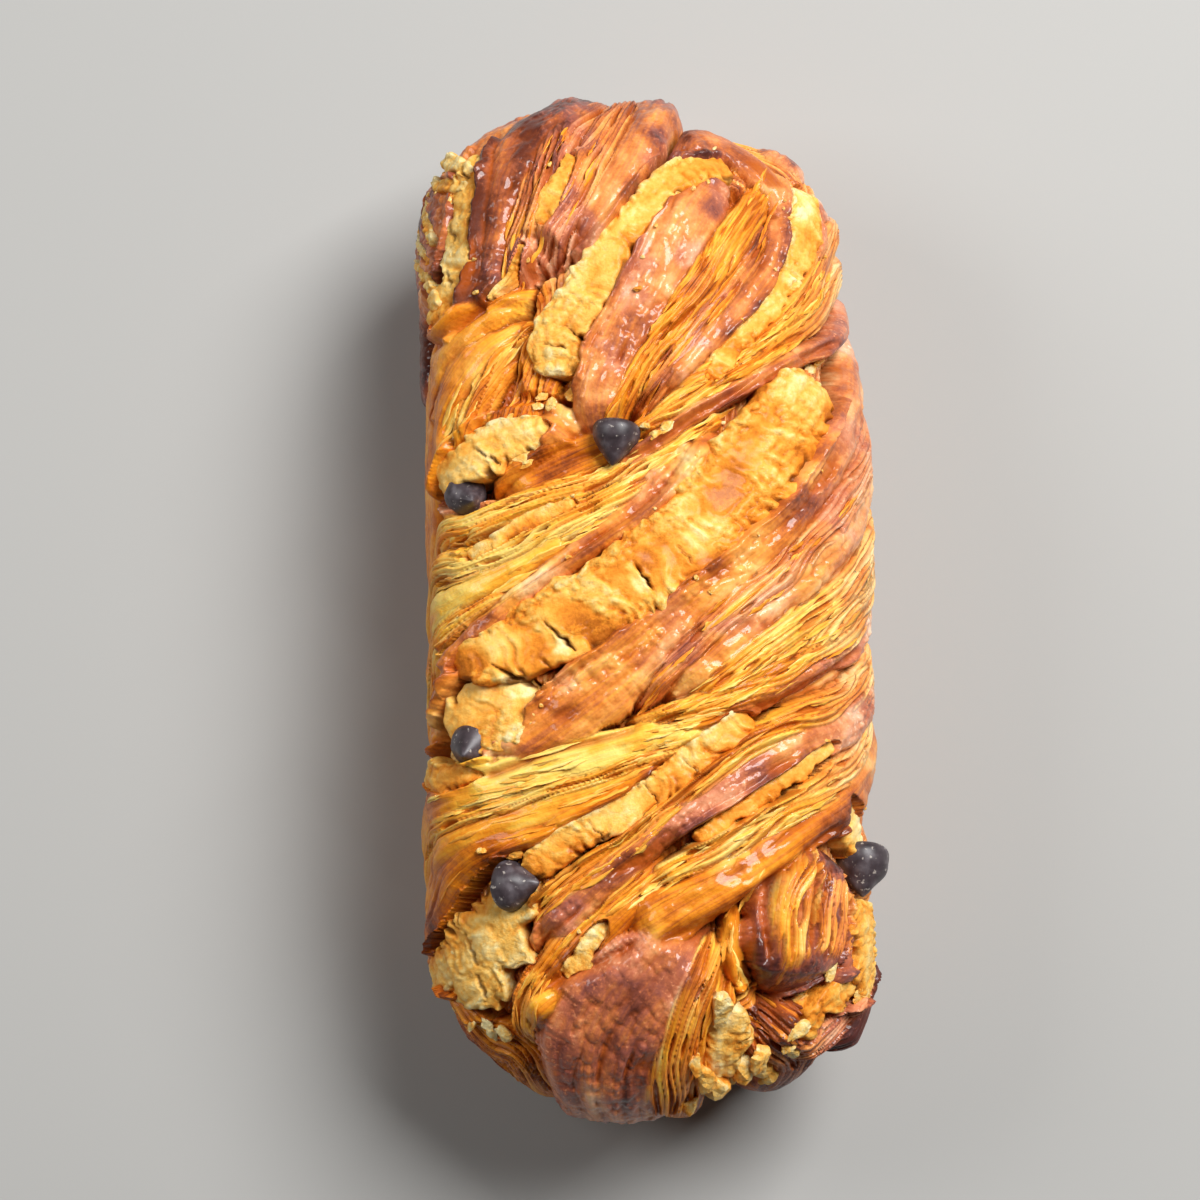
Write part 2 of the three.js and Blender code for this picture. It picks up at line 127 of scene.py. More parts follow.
FIRST_TURN = [
    ("crust", 0.54, 9.3, [-8.5, 29, 7], [-9.5, 38, 9], [-5.5, 51, 10], [1.5, 65, 11], [9, 79, 11],
     [16, 89, 7]),
    ("crust", 0.6, 9.5, [-8.5, 28, 5], [-10, 36, 7], [-8, 44, 7], [-5, 51, 4]),
    ("leaf", 0.56, 9, [-9, 31, 4], [-2, 44, 5], [7, 57, 6], [14, 68, 7], [21, 79, 7], [26, 89, 4]),
    ("flake", 0.66, 9, [-3, 34, 4], [6, 47, 5], [14, 58, 5], [21, 69, 5], [26, 80, 5]),
    ("crust", 0.6, 9.5, [5, 87, 5], [11, 94, 7], [17, 96.5, 7], [24, 92, 6], [28.5, 86, 5],
     [29.5, 79, 5]),
    ("crust", 0.56, 9.2, [29.5, 82, 4], [26, 69.5, 5], [17.5, 58, 5], [8, 46, 4], [0, 37, 3]),
    ("leaf", 0.42, 8.5, [-7, 27.5, 4], [2, 33, 5], [11, 39.5, 6], [20, 46.5, 6], [30, 55, 6],
     [42, 65, 7]),
    ("leaf", 0.44, 8.5, [2, 36.5, 4], [9, 41, 5], [18, 47.5, 6], [27, 55, 6], [36, 65, 6], [46, 80, 7]),
    ("crust", 0.5, 7.5, [37, 62, 7], [40, 73, 8], [41, 86, 8]),
    ("crust", 0.55, 9, [-9, 22, 3], [0, 28, 3], [11, 36, 3], [22, 43.5, 3], [32, 50, 3.5], [46, 57, 4]),
    ("leaf", 0.62, 3.5, [-28, 28, 8], [-24, 42, 10], [-20, 55, 7]),
    ("glaze", 0.45, 8.5, [-54, 20, 14], [-49, 40, 16], [-38, 53, 11], [-28, 61, 7], [-23, 64, 4]),
    ("glaze", 0.45, 7.5, [-46, 20, 6], [-41, 34, 7], [-34, 46, 7], [-25, 57.5, 5]),
    ("leaf", 0.38, 7, [-39, 27, 5], [-34, 37, 6], [-28.5, 47, 5], [-23, 56, 4]),
    ("crust", 0.45, 5, [-44, 24, 4], [-43, 17, 4], [-36, 14.5, 4], [-29, 17, 3]),
    ("wash", 0.3, 7.5, [-24, 35, 6], [-18, 32.5, 8], [-12, 28, 7]),
    ("glaze", 0.55, 5.5, [-31, 18, 5], [-22, 22.5, 8], [-13, 27, 8], [-2, 31, 5]),
]
SECOND_TURN = [
    ("leaf", 0.26, 6.5, [-46, 9, 7], [-33, 12.5, 6], [-20, 17.5, 6], [-7.5, 21.5, 6], [3, 27.5, 5],
     [15, 35, 3]),
    ("leaf", 0.18, 8, [-45, 1, 7], [-33, 3, 7], [-24, 7, 6], [-14, 12.5, 6], [-5, 18, 5], [4, 24, 4]),
    ("silk", 0.22, 8, [-46, -8, 7], [-36, -3, 6], [-28, 1, 5], [-20, 6, 5], [-11, 11, 4]),
    ("leaf", 0.26, 7.5, [-48, -18, 8], [-40, -11, 6], [-33, -5.5, 5], [-22, 1.5, 4]),
    ("wash", 0.4, 7.5, [-47, -30, 6], [-41, -24.5, 5], [-33.5, -15, 4], [-26, -5, 4], [-11, 8, 5],
     [0, 17, 8], [14, 32, 5]),
    ("wash", 0.5, 9.5, [-30, -39, 7], [-20, -31.5, 10], [-7.5, -20.5, 11], [6, -7, 9], [17, 2.5, 8],
     [28, 15, 7], [44, 38, 8]),
    ("flake", 0.54, 9.5, [-4, -27, 4], [9, -13.5, 6], [20, -2.5, 7], [29, 6, 7], [37.5, 15.5, 7],
     [46, 26, 8]),
    ("wash", 0.38, 9.3, [3, -25, 4], [12, -17, 6], [21, -6, 7], [31, 3, 7], [41.5, 13.5, 8],
     [48, 22, 9]),
    ("leaf", 0.3, 9.5, [6, -27, 4], [16, -20, 6], [26, -11, 7], [36, -3, 7], [47, 7, 8]),
    ("leaf", 0.36, 9.5, [8, -28, 4], [18, -22, 5], [27, -15, 6], [36, -8, 6], [44, -1, 7]),
    ("leaf", 0.4, 9.5, [-5, -31, 4], [8, -28.5, 6], [19, -23.5, 6], [28, -17, 6], [38, -10.5, 7],
     [48, -2, 8]),
    ("crust", 0.5, 8.8, [8, -29.5, 3], [17, -27, 3.5], [25, -22.5, 4], [36, -15.5, 4], [48, -8.5, 6]),
]
THIRD_TURN = [
    ("glaze", 0.45, 5.5, [21, -29, 4], [31, -24, 7], [38.5, -20, 8], [48, -16, 9]),
    ("silk", 0.04, 9, [-38, -45, 6], [-30, -42.5, 8], [-20, -39.5, 8], [-6, -35, 7], [14, -30, 4]),
    ("silk", 0.34, 8.6, [-50, -48, 9], [-41, -45.5, 9], [-32, -44, 6], [-20, -41.5, 3]),
    ("leaf", 0.28, 8, [-49, -54, 7], [-38, -49.5, 6], [-26, -46, 5], [-12, -41, 5], [0, -36.5, 4],
     [11, -33, 4]),
    ("silk", 0.38, 8, [-50, -62, 7], [-40, -56, 7], [-30, -51.5, 6], [-18, -48, 6], [-6, -43.5, 5],
     [6, -37, 4]),
    ("silk", 0.58, 8, [-52, -72, 9], [-43, -65, 7], [-36, -59, 6], [-28, -54.5, 5], [-12, -50, 4]),
    ("leaf", 0.46, 9, [-24, -72, 4], [-14, -62.5, 5], [-4, -55, 5], [6, -46, 6], [14, -39, 6],
     [26, -30, 6], [47, -20, 8]),
    ("crust", 0.58, 9, [-23, -77, 5], [-15, -68, 6], [-7.5, -60.5, 6], [6, -50, 5], [18.5, -41, 6],
     [31, -33, 6], [47, -25, 8]),
    ("leaf", 0.24, 8.5, [-2, -66, 5], [8, -59, 6], [18.5, -52.5, 6], [29, -46.5, 6], [37, -41, 6],
     [47, -33, 7]),
    ("glaze", 0.5, 8.5, [-7, -72, 5], [4, -66, 5], [14, -61, 5], [26, -53, 5]),
    ("glaze", 0.6, 9.8, [-6, -76, 6], [6, -69.5, 7], [18.5, -61, 7], [29, -52.5, 7], [39, -46, 7],
     [48, -39, 8]),
    ("leaf", 0.5, 8, [-23, -98, 5], [-24.5, -88, 5], [-18.5, -78, 5], [-10, -68.5, 5], [4, -57.5, 4]),
    ("glaze", 0.5, 8, [-19, -96, 5], [-20, -86, 5], [-14, -77, 5], [-6, -69, 5], [2, -62, 4]),
]
BOTTOM_END = [
    ("leaf", 0.5, 8, [13, -76, 6], [11, -88, 9], [9, -98, 9], [8, -110, 10]),
    ("silk", 0.35, 6.8, [18.5, -64, 3], [16.5, -71, 3.5], [17, -79, 4], [21, -85, 4]),
    ("crust", 0.6, 6, [42, -60, 5], [41.5, -70, 6], [41, -79, 6], [38, -86, 5]),
    ("flake", 0.78, 5, [20, -90, 10], [29, -95, 12], [36, -101, 13], [38, -110, 12]),
    ("flake", 0.6, 7.4, [27, -99, 5], [37, -97, 7], [50, -90, 7]),
    ("flake", 1.0, 9.5, [56, -76, 7], [56, -88, 8], [49, -97, 8], [41, -104, 7]),
    ("leaf", 0.62, 4.5, [-56, -80, 8], [-47, -90, 10], [-37, -98, 11], [-28, -106, 12]),
    ("leaf", 0.68, 3.5, [-44, -99, 8], [-34, -106, 10], [-24, -112, 12]),
]
# Two fat ends of strands that stop short of the base, with the leaves and glazed edges on them.
BULBS = [
    ("caramel", 0.66, 10, [12, -72, 8], [4, -80, 17], [-4, -89, 23], [-8, -99, 26], [-7, -112, 23],
     [-5, -124, 18]),
    ("silk", 0.34, 10.4, [-22, -94, 2], [-22.5, -88, 3.5], [-19, -84, 3.5], [-13, -82, 2]),
    ("silk", 0.34, 10.6, [-9, -79.5, 2], [-4, -78.6, 3], [0, -75.5, 2.5]),
    ("leaf", 0.5, 11, [14, -73, 4], [9, -82, 6], [6, -91, 7], [4, -101, 8], [3, -116, 8]),
    ("caramel", 0.84, 9.5, [34, -51, 9], [30.5, -62, 14], [29, -73, 16.5], [28.5, -81, 13],
     [28, -87, 8]),
    ("leaf", 0.46, 10, [37, -54, 6], [34.5, -63, 9], [33.5, -74, 9.5], [31.5, -84.5, 7]),
    ("leaf", 0.36, 10.4, [33, -51, 6], [28.5, -60, 8], [26.5, -69, 8], [26.8, -78, 6], [28, -85, 4]),
]
# Strands low on the corners, laid before the others.
CORNERS = [
    ("leaf", 0.55, 6.5, [45, -52, 8], [58, -42, 12], [74, -27, 13]),
    ("leaf", 0.55, 8.5, [48, -66, 8], [60, -57, 13], [76, -42, 14]),
    ("crust", 0.55, 9, [56, -84, 8], [66, -74, 14], [80, -60, 14]),
    ("crust", 0.95, 5.5, [50, -97, 10], [58, -110, 14], [62, -130, 14]),
    ("leaf", 0.62, 4, [-58, -76, 8], [-62, -92, 14], [-60, -118, 16]),
    ("leaf", 0.6, 6, [-60, 60, 8], [-70, 46, 13], [-82, 32, 14]),
    ("leaf", 0.6, 6, [-62, 84, 8], [-72, 70, 14], [-84, 56, 14]),
    ("crust", 0.6, 6, [-58, 98, 10], [-66, 112, 14], [-70, 130, 14]),
    ("crust", 0.5, 4, [42, 84, 9], [54, 92, 14], [66, 106, 16]),
    ("crust", 0.5, 4, [32, 98, 10], [42, 112, 15], [48, 130, 15]),
]
# Ribbons of halva lie between the strands: a row is the node, the crest, the depth, how ragged the
# edges are, the browning, then the middle line.
HALVA = [
    ("halva_cut_end", 10.2, 14, 0.4, 0.5, [-40, 56, 4], [-37.5, 63, 6], [-36.5, 70, 6.5],
     [-36, 78, 6], [-35.5, 86, 6.5], [-36.5, 94, 5]),
    ("halva_cut_end", 11, 3, 0.5, 0.42, [-46, 101, 2.4], [-43.5, 98, 3], [-39, 93, 3.4],
     [-35, 89, 2.4]),
    ("halva_cut_end", 11, 3, 0.5, 0.44, [-49, 97, 2], [-44, 92, 3], [-39.5, 88.5, 3], [-35, 86, 2]),
    ("halva_cut_end", 10.8, 3, 0.5, 0.5, [-51, 94, 2], [-49.5, 89, 2.8], [-46, 83, 2.6],
     [-43.5, 77, 2]),
    ("halva_cut_end", 10.8, 3, 0.5, 0.46, [-54, 89, 1.6], [-52.5, 84, 2], [-49, 79, 2], [-45, 73, 1.8]),
    ("halva_cut_end", 10.8, 3, 0.5, 0.44, [-54, 78, 1.8], [-48.5, 72, 2.6], [-43, 66, 3],
     [-39, 60, 2.4]),
    ("halva_cut_end", 8.4, 4, 0.35, 0.5, [-30, 60.5, 1.4], [-26, 65, 2], [-23.5, 72, 1.4]),
    ("halva_top_patch", 9.6, 6, 0.3, 0.5, [-20, 75, 3], [-18, 81, 4], [-15.5, 89, 3]),
    ("halva_upper", 8.2, 16, 0.22, 0.54, [-17.5, 43, 7], [-17, 51, 9.5], [-12, 61, 9], [-5, 73, 8],
     [5, 84, 7], [18, 90, 5]),
    ("halva_shoulder", 8, 14, 0.22, 0.5, [12, 42, 4], [18, 50.5, 5], [25.5, 59.5, 5], [32, 71, 7],
     [35.5, 80, 11], [34.5, 90, 8]),
    ("halva_left", 7.6, 12, 0.25, 0.5, [-40, 21, 7], [-33, 26.5, 9], [-26, 30, 9], [-19, 32.5, 5]),
    ("halva_strip", 7.5, 8, 0.25, 0.62, [-33, 5, 3], [-26, 10, 4], [-20, 13.5, 4], [-14, 16, 3]),
    ("halva_broad", 9.8, 18, 0.1, 0.7, [-34, -18, 8], [-22, -13, 14], [-6, -3, 17], [9, 10, 16],
     [19, 22, 18], [33, 44, 13]),
    ("halva_block", 8.6, 12, 0.15, 0.55, [-21.5, -22, 8], [-29, -27.5, 15], [-36, -31.5, 10]),
    ("halva_block", 8.2, 5, 0.3, 0.56, [-45, -38.5, 5], [-38, -40.5, 6.5], [-30, -40, 4]),
    ("halva_lower", 8.7, 16, 0.18, 0.61, [-23, -60, 6], [-14, -53.5, 7], [-4, -47.5, 7],
     [4, -41.5, 7], [19, -28.5, 6]),
    ("halva_flakes", 7, 10, 0.3, 0.53, [-24, -62, 8], [-29, -70, 14], [-35, -78, 18], [-44, -85, 15]),
    ("halva_flakes", 7, 6, 0.32, 0.45, [-38, -77, 7], [-46, -81.5, 9], [-56, -86, 6]),
    ("halva_thread", 8, 8, 0.25, 0.68, [9, -54, 3], [18.5, -47, 4], [28, -39.5, 4], [36, -33, 3]),
    ("halva_pocket", 6.8, 6, 0.5, 0.4, [-17, -80.5, 2.4], [-12.5, -76, 4.4], [-8.5, -70.5, 2.4]),
    ("halva_end", 6.5, 8, 0.35, 0.42, [16, -86, 6], [15.5, -93, 8], [17, -103, 9]),
    ("halva_edge", 7, 6, 0.15, 0.5, [40, -44, 4], [43, -50, 7], [45.5, -56, 5]),
    ("halva_wall", 9.6, 4, 0.3, 0.4, [43, -65.5, 4], [45, -72, 10], [46.5, -81, 11], [49.5, -89, 6]),
    ("halva_corner", 7.8, 5, 0.42, 0.55, [46, -86, 4], [40, -86, 5], [34.5, -88.5, 5], [31, -94, 4]),
]
# Where a strand's lip lies over the next strand there is a deep line, darkened with painted shade:
# points as [across, along, width].
CREASES = [
    [[-5, 24.5, 1], [0.5, 27.5, 1], [10.5, 35, 1], [22, 42.5, 1], [32, 49, 1], [42, 54.5, 1]],
    [[1, -30, 1], [6, -29.5, 1], [15, -28.5, 1.2], [23.5, -25.5, 1.2], [33.5, -19, 1], [44, -12.5, 1]],
    [[1, -74.5, 1], [8, -72, 1.2], [15.5, -69, 1.2], [21, -63.5, 1], [28.5, -57, 1], [37, -50, 1]],
    [[-30.5, -41, 1], [-26.5, -39.5, 1], [-19, -36, 0.9], [-9.5, -33.5, 0.8], [-2, -31, 0.8]],
    [[-44, 52, 1], [-36.5, 54.5, 1.2], [-27.5, 61.5, 1], [-22, 65.5, 1], [-15.5, 69, 0.8]],
    [[-19.5, -83, 1], [-17.5, -81, 1], [-9, -77.5, 1], [-2, -73.5, 0.8]],
    [[15.5, -71, 0.9], [15, -83.5, 1], [15, -92.5, 0.8]],
    [[-13, -58, 0.8], [-15.5, -60.5, 1], [-22.5, -70, 1], [-24, -74, 0.8]],
    [[31.5, -56, 0.6], [30.5, -66, 0.8], [29.5, -76, 0.7]],
    [[23.5, -61.5, 0.6], [21.5, -69, 0.8], [22.5, -78, 0.7]],
    [[24, -61, 1.2], [19.5, -67, 1.4], [18, -74, 1.4], [20, -82, 1.2], [26.5, -88, 1.4],
     [36.5, -83, 1]],
]
# Torn places in the halva and the cut end: both tips as [across, along], and the width.
TEARS = [
    ([-19, -9], [-13.5, -15.5], 2.6),
    ([-3.5, 3.5], [1, -3], 2.6),
    ([5.5, 7], [8.5, 2.5], 1.4),
    ([-16, 54], [-12, 49.5], 1.9),
    ([-20, 50], [-15.5, 48.6], 1.7),
    ([-27.5, -17.5], [-20.5, -23], 3.2),
    ([-36.5, -72.5], [-33.5, -80], 2.3),
    ([-33.8, -81], [-32, -86], 2.3),
    ([-1.5, -42], [2, -46.5], 1.3),
    ([6, -36.5], [10, -41], 1.3),
    ([-12, -49.5], [-8.5, -54.5], 1.2),
    ([-32, 29], [-26.5, 24], 1.9),
    ([-36.5, 91], [-35, 87.5], 2.2),
    ([-38.5, 80], [-37, 75], 2.2),
    ([-38, 68.5], [-36.5, 64], 2),
]
# Sizes in millimetres, and shares. The pairs are the first seed and the step to the next, how blunt
# a tip is and over which share of the width it rounds off, and the swell's inner and outer reach.
STRAND_RISE = 6.0
STRAND_POWER = 0.75
STRAND_SPREAD = 1.32
STRAND_MARGIN = 1.5
STRAND_BLEND = 0.3
STRAND_SEEDS = (1000, 31)
STRAND_END = (0.15, 0.6)
NARROWEST = 0.05
END_DIVE = 9.0
DIVE_SHARE = 0.4
NO_END = 1e3
BURIED = -20
SHOULDER = 40.0
END_SHOULDER = 104.0
FOOT = 92.0
WALL_LEAN = 0.9
MOST_LEAN = 1.4
STEEPEST = 4.0
WALL_PRESS = 0.45
WALL_PLAIN = 0.85
CORNER_SINK = 0.6
SWELL_RISE = 4.2
SWELL_ACROSS = -38.0
SWELL_REACH = (13.0, 7.0)
SWELL_LENGTH = 66.0
TOP_GRID = 0.31
WALL_GRID = 0.9
TOP_HALF_WIDTH = 60
TOP_HALF_LENGTH = 114


def ease(value, low, high):
    """Smooth step from 0 at low to 1 at high."""
    share = np.clip((value - low) / (high - low), 0, 1)
    return share * share * (3 - 2 * share)


def foot_of(end, before):
    """Where a strand that heads over the shoulder or the end of the loaf meets the base: straight
    down at the ends, and leaning between its own heading and the walls' lean at the sides."""
    across, along, width = end
    if abs(along) > END_SHOULDER:
        return [[across, math.copysign(SPINE_HALF_LENGTH + FOOT, along), width]]
    outward = abs(across) - abs(before[0])
    if abs(across) < SHOULDER or outward <= 0:
        return []
    heading = (along - before[1]) / outward
    if abs(heading) > STEEPEST:
        return []
    side = math.copysign(1, across)
    lean = (min(max(heading, -MOST_LEAN), MOST_LEAN) + side * WALL_LEAN) / 2
    down = FOOT + SPINE_HALF_WIDTH - abs(across)
    return [[across + side * down, along + lean * down, width]]


def smooth_line(points, step):
    """Even stations along a smooth line through the points, as how far along each is, its place and the
    line's heading there: cubic spans whose tangents are half the way between a point's neighbours."""
    knots = np.array(points, float)
    ends = np.vstack([2 * knots[0] - knots[1], knots, 2 * knots[-1] - knots[-2]])
    start, stop = ends[1:-2, None], ends[2:-1, None]
    way_in = (ends[2:-1] - ends[:-3])[:, None] / 2
    way_out = (ends[3:] - ends[1:-2])[:, None] / 2
    t = np.linspace(0, 1, 40, endpoint=False)[None, :, None]
    spans = (
        (2 * t**3 - 3 * t**2 + 1) * start
        + (t**3 - 2 * t**2 + t) * way_in
        + (3 * t**2 - 2 * t**3) * stop
        + (t**3 - t**2) * way_out
    )
    line = np.vstack([spans.reshape(-1, knots.shape[1]), knots[-1]])
    walked = np.concatenate([[0], np.cumsum(np.hypot(*np.diff(line[:, :2], axis=0).T))])
    run = np.linspace(0, walked[-1], max(8, int(walked[-1] / step)))
    line = np.stack([np.interp(run, walked, column) for column in line.T], -1)
    return run, line, unit(np.gradient(line[:, :2], run, axis=0))


def rounded_end(from_end, width, blunt, reach):
    """Share of its width that a strand or a ribbon keeps near an end: the root of the distance from the
    end over a part of the width, with a start for a blunt tip."""
    return np.sqrt(np.clip(blunt + from_end / (reach * width), 0, 1))


def standing(across, along):
    """Share of its height that a strand keeps: less against the tin's wall, none at the toe, and less
    in the corner at +X +Y, which sank as it baked."""
    down = from_spine(across, along) / SECTION_LENGTH
    wall = 1 - WALL_PRESS * ease(down, 0.55, 0.8)
    toe = 1 - ease(down, 0.88, 1)
    return wall * toe * (1 - CORNER_SINK * ease(across, 2, 24) * ease(along, 25, 75))


def swell(across, along):
    """Extra height along the left shoulder, where the dough rose against the tin: a bell across, wider
    on its inner side and faded out towards both ends."""
    reach = np.where(across > SWELL_ACROSS, *SWELL_REACH)
    bell = np.exp(-(((across - SWELL_ACROSS) / reach) ** 2))
    return SWELL_RISE * bell * (1 - ease(np.abs(along), SWELL_LENGTH - 20, SWELL_LENGTH + 10))


def surface_grid():
    """Grid of (across, along) over the whole body: fine steps on top and wide ones on the walls, with
    each row drawn in to the base's outline, a superellipse about the spine's ends."""
    wide, long = SPINE_HALF_WIDTH + SECTION_LENGTH, SPINE_HALF_LENGTH + SECTION_LENGTH
    past_wide, past_long = wide - TOP_HALF_WIDTH, long - TOP_HALF_LENGTH
    across = np.arange(0, TOP_HALF_WIDTH, TOP_GRID)
    across = np.concatenate([across, np.linspace(TOP_HALF_WIDTH, wide, int(past_wide / WALL_GRID))])
    along = np.arange(0, TOP_HALF_LENGTH, TOP_GRID)
    turn = np.linspace(0, np.pi / 2 - 0.02, int(past_long / WALL_GRID))
    along = np.concatenate([along, TOP_HALF_LENGTH + past_long * np.sin(turn)])
    across = np.concatenate([-across[:0:-1], across])
    along = np.concatenate([-along[:0:-1], along])
    past = np.clip((np.abs(along) - SPINE_HALF_LENGTH) / SECTION_LENGTH, 0, 1)
    share = (SPINE_HALF_WIDTH + SECTION_LENGTH * (1 - past**PLAN_POWER) ** (1 / PLAN_POWER)) / wide
    return share[:, None] * across, along[:, None] + 0 * across


grid_across, grid_along = surface_grid()
flat_across, flat_along = grid_across.ravel(), grid_along.ravel()
flat_place = np.stack([flat_across, flat_along], -1)


def near_line(points, reach):
    """Grid points within reach of a smooth line, as their numbers, how far along the line each lies,
    how far to its left, the line's width there and the line's length. Every fifth station is tried
    first, to pass over the points that are far away."""
    run, line, heading = smooth_line(points, 1.0)
    middle = line[:, :2]
    inside = (flat_place > middle.min(0) - reach) & (flat_place < middle.max(0) + reach)
    chosen = np.flatnonzero(inside.all(1))
    away = np.linalg.norm(flat_place[chosen, None] - middle[::5], axis=-1)
    chosen = chosen[away.min(1) < reach + 3]
    place = flat_place[chosen]
    nearest = np.argmin(((place[:, None] - middle) ** 2).sum(-1), 1)
    step = place - middle[nearest]
    ahead = heading[nearest]
    left = ahead[:, 0] * step[:, 1] - ahead[:, 1] * step[:, 0]
    return chosen, run[nearest] + (step * ahead).sum(1), left, line[nearest, 2], run[-1]


def grain(x, y, seed):
    """Value noise from -1 to 1: a random number at each corner of a unit lattice, blended over each
    cell by a smooth step in x and then in y."""
    size = 128
    table = np.random.default_rng(seed).uniform(-1, 1, (size, size))
    column, row = np.floor(x).astype(int), np.floor(y).astype(int)
    u, v = x - column, y - row
    u, v = u * u * (3 - 2 * u), v * v * (3 - 2 * v)
    left, right = column % size, (column + 1) % size
    low = table[row % size, left] * (1 - u) + table[row % size, right] * u
    high = table[(row + 1) % size, left] * (1 - u) + table[(row + 1) % size, right] * u
    return low * (1 - v) + high * v


def lumps(x, y, seed):
    """Uneven lumps from about -1 to 1: two sizes of value noise, each turned to its own angle."""
    total = 0
    for k, (size, turn) in enumerate(((1.0, 0.5), (0.45, 1.4))):
        ahead, beside = np.cos(turn) * x + np.sin(turn) * y, np.cos(turn) * y - np.sin(turn) * x
        total = total + size * grain(ahead / size, beside / size, seed + 100 * k)
    return total / 1.2


def bubbles(x, y, seed):
    """Round blisters from 0 to 1: each unit cell holds one dome with a random middle and radius, and
    the highest of the nine domes about a point counts."""
    size = 64
    middle_x, middle_y, radius = np.random.default_rng(seed).uniform(0.3, 0.8, (3, size, size))
    column, row = np.floor(x).astype(int), np.floor(y).astype(int)
    best = np.zeros(np.shape(x))
    for i, j in ((i, j) for i in (-1, 0, 1) for j in (-1, 0, 1)):
        cell = (row + j) % size, (column + i) % size
        away = (x - column - i - middle_x[cell]) ** 2 + (y - row - j - middle_y[cell]) ** 2
        best = np.maximum(best, 1 - away / radius[cell] ** 2)
    return np.sqrt(best)


def torn(across, along):
    """Tears as uneven lens shapes between two tips: how open a place is, and how much of it is the pale
    broken side, a band to the right of the lens that only wide tears have."""
    open_share, pale = np.zeros(np.shape(across)), np.zeros(np.shape(across))
    for (x0, y0), (x1, y1), width in TEARS:
        half = math.hypot(x1 - x0, y1 - y0) / 2
        way_x, way_y = (x1 - x0) / (2 * half), (y1 - y0) / (2 * half)
        x, y = across - (x0 + x1) / 2, along - (y0 + y1) / 2
        run, off = x * way_x + y * way_y, y * way_x - x * way_y
        off = off + 0.3 * grain(run / 1.1, off / 4, 31)
        lens = width / 3 * np.sqrt(np.clip(1 - (run / half) ** 2, 0, 1))
        lens = lens * (0.75 + 0.4 * grain(run / 1.6, 0 * run, 32))
        open_share = np.maximum(open_share, ease(lens - np.abs(off), -0.05, 0.4))
        band = width * np.sqrt(np.clip(1 - (run / (half + 0.3)) ** 2, 0, 1))
        band = band * (0.85 + 0.25 * grain(run / 2, 0 * run + 3, 33))
        pale = np.maximum(pale, ease(band - np.abs(off + width / 2), 0, 1.4) * ease(width, 2.2, 2.5))
    return open_share, pale


# In the reliefs, run is how far along a strand a place is and off how far to the left of its middle
# line. A number before a noise is its height, and those that divide run and off are its length and
# width, all in millimetres. The gap that a relief gives, its slits and wrinkles, is darkened in the
# material as painted shade.
def leaf_relief(run, off, seed):
    """Leaves of dough stacked side by side: the way across is cut into layers that wander along the
    strand. Each leans up at one edge, with its own lift and browning, and long slits open between
    some of them. Gives height in millimetres, change of browning, and gap."""
    pitch = 1.25
    wander = 2.2 * grain(run / 18, off / 20, seed) + 0.8 * grain(run / 8, off / 3, seed + 1)
    layer = (off + wander) / pitch
    index = np.floor(layer)
    inside = layer - index
    lift = grain(run / 16, 3 * index, seed + 2)
    tone = grain(run / 12, 3 * index, seed + 3)
    edge = np.round(layer)
    opening = 0.8 * np.clip(grain(run / 5, 3 * edge, seed + 4) - 0.15, 0, 1)
    gap = ease(opening - pitch * np.abs(layer - edge), -0.12, 0.15)
    fold = 0.42 * grain(run / 24, (off + wander) / 3.6, seed + 5)
    slope = np.minimum(inside / 0.65, (1 - inside) / 0.35)
    height = fold + 0.25 * lift + 0.36 * (ease(slope, 0, 1) - 0.5) - gap
    # Each leaf is paler towards its raised edge: partly its raw edge and partly painted highlight.
    return height, 0.26 * tone - 0.12 * slope, gap


def crust_relief(run, off, seed):
    """Egg-washed crust: broad soft swells, a few long wrinkles and many small blisters, which are the
    domes of a fine noise, their tops made paler as painted sheen. Gives height, change of browning, and
    gap."""
    broad = 0.45 * grain(run / 13, off / 5, seed) + 0.35 * lumps(run / 3.5, off / 2.6, seed + 1)
    wrinkle = grain(run / 15, (off + grain(run / 6, off / 4, seed + 7)) / 1.5, seed + 2)
    blistered = ease(lumps(run / 7, off / 5, seed + 6), -0.35, 0.25)
    blister = blistered * bubbles(run / 2.6, off / 2.2, seed + 3)
    blister = blister + 0.3 * bubbles(run / 1.8, off / 1.6, seed + 8)
    gap = ease(-wrinkle, 0.4, 0.85) * ease(grain(run / 9, off / 6, seed + 4), -0.1, 0.4)
    height = broad + 0.3 * wrinkle + 0.42 * blister - 0.8 * gap
    # The tops of the blisters are paler: painted sheen.
    return height, 0.3 * lumps(run / 6, off / 4, seed + 5) - 0.08 * blister - 0.1 * wrinkle, gap


def glaze_relief(run, off, seed):
    """Syrup over dough: long low swells and faint drawn-out lines. Gives height, browning and gap."""
    line = grain(run / 22, (off + 1.2 * grain(run / 9, off / 5, seed + 4)) / 1.6, seed + 1)
    gap = 0.9 * ease(-line, 0.58, 0.95)
    lumpy = lumps(run / 3, off / 2.4, seed + 3)
    height = 0.5 * grain(run / 14, off / 4.5, seed) + 0.28 * line - 0.7 * gap + 0.3 * lumpy
    return height, 0.25 * lumps(run / 9, off / 4, seed + 2) - 0.1 * line - 0.1 * lumpy, gap


# For each kind: its relief, how rosy its brown is and how glossy its skin is.
SURFACES = {
    "leaf": (leaf_relief, 0.1, 0.25),
    "flake": (leaf_relief, 0.65, 0.4),
    "crust": (crust_relief, 0.75, 0.6),
    "wash": (crust_relief, 0.45, 0.6),
    "glaze": (glaze_relief, 0.1, 0.48),
    "silk": (glaze_relief, 0.0, 0.45),
    "caramel": (crust_relief, 1.0, 0.7),
}

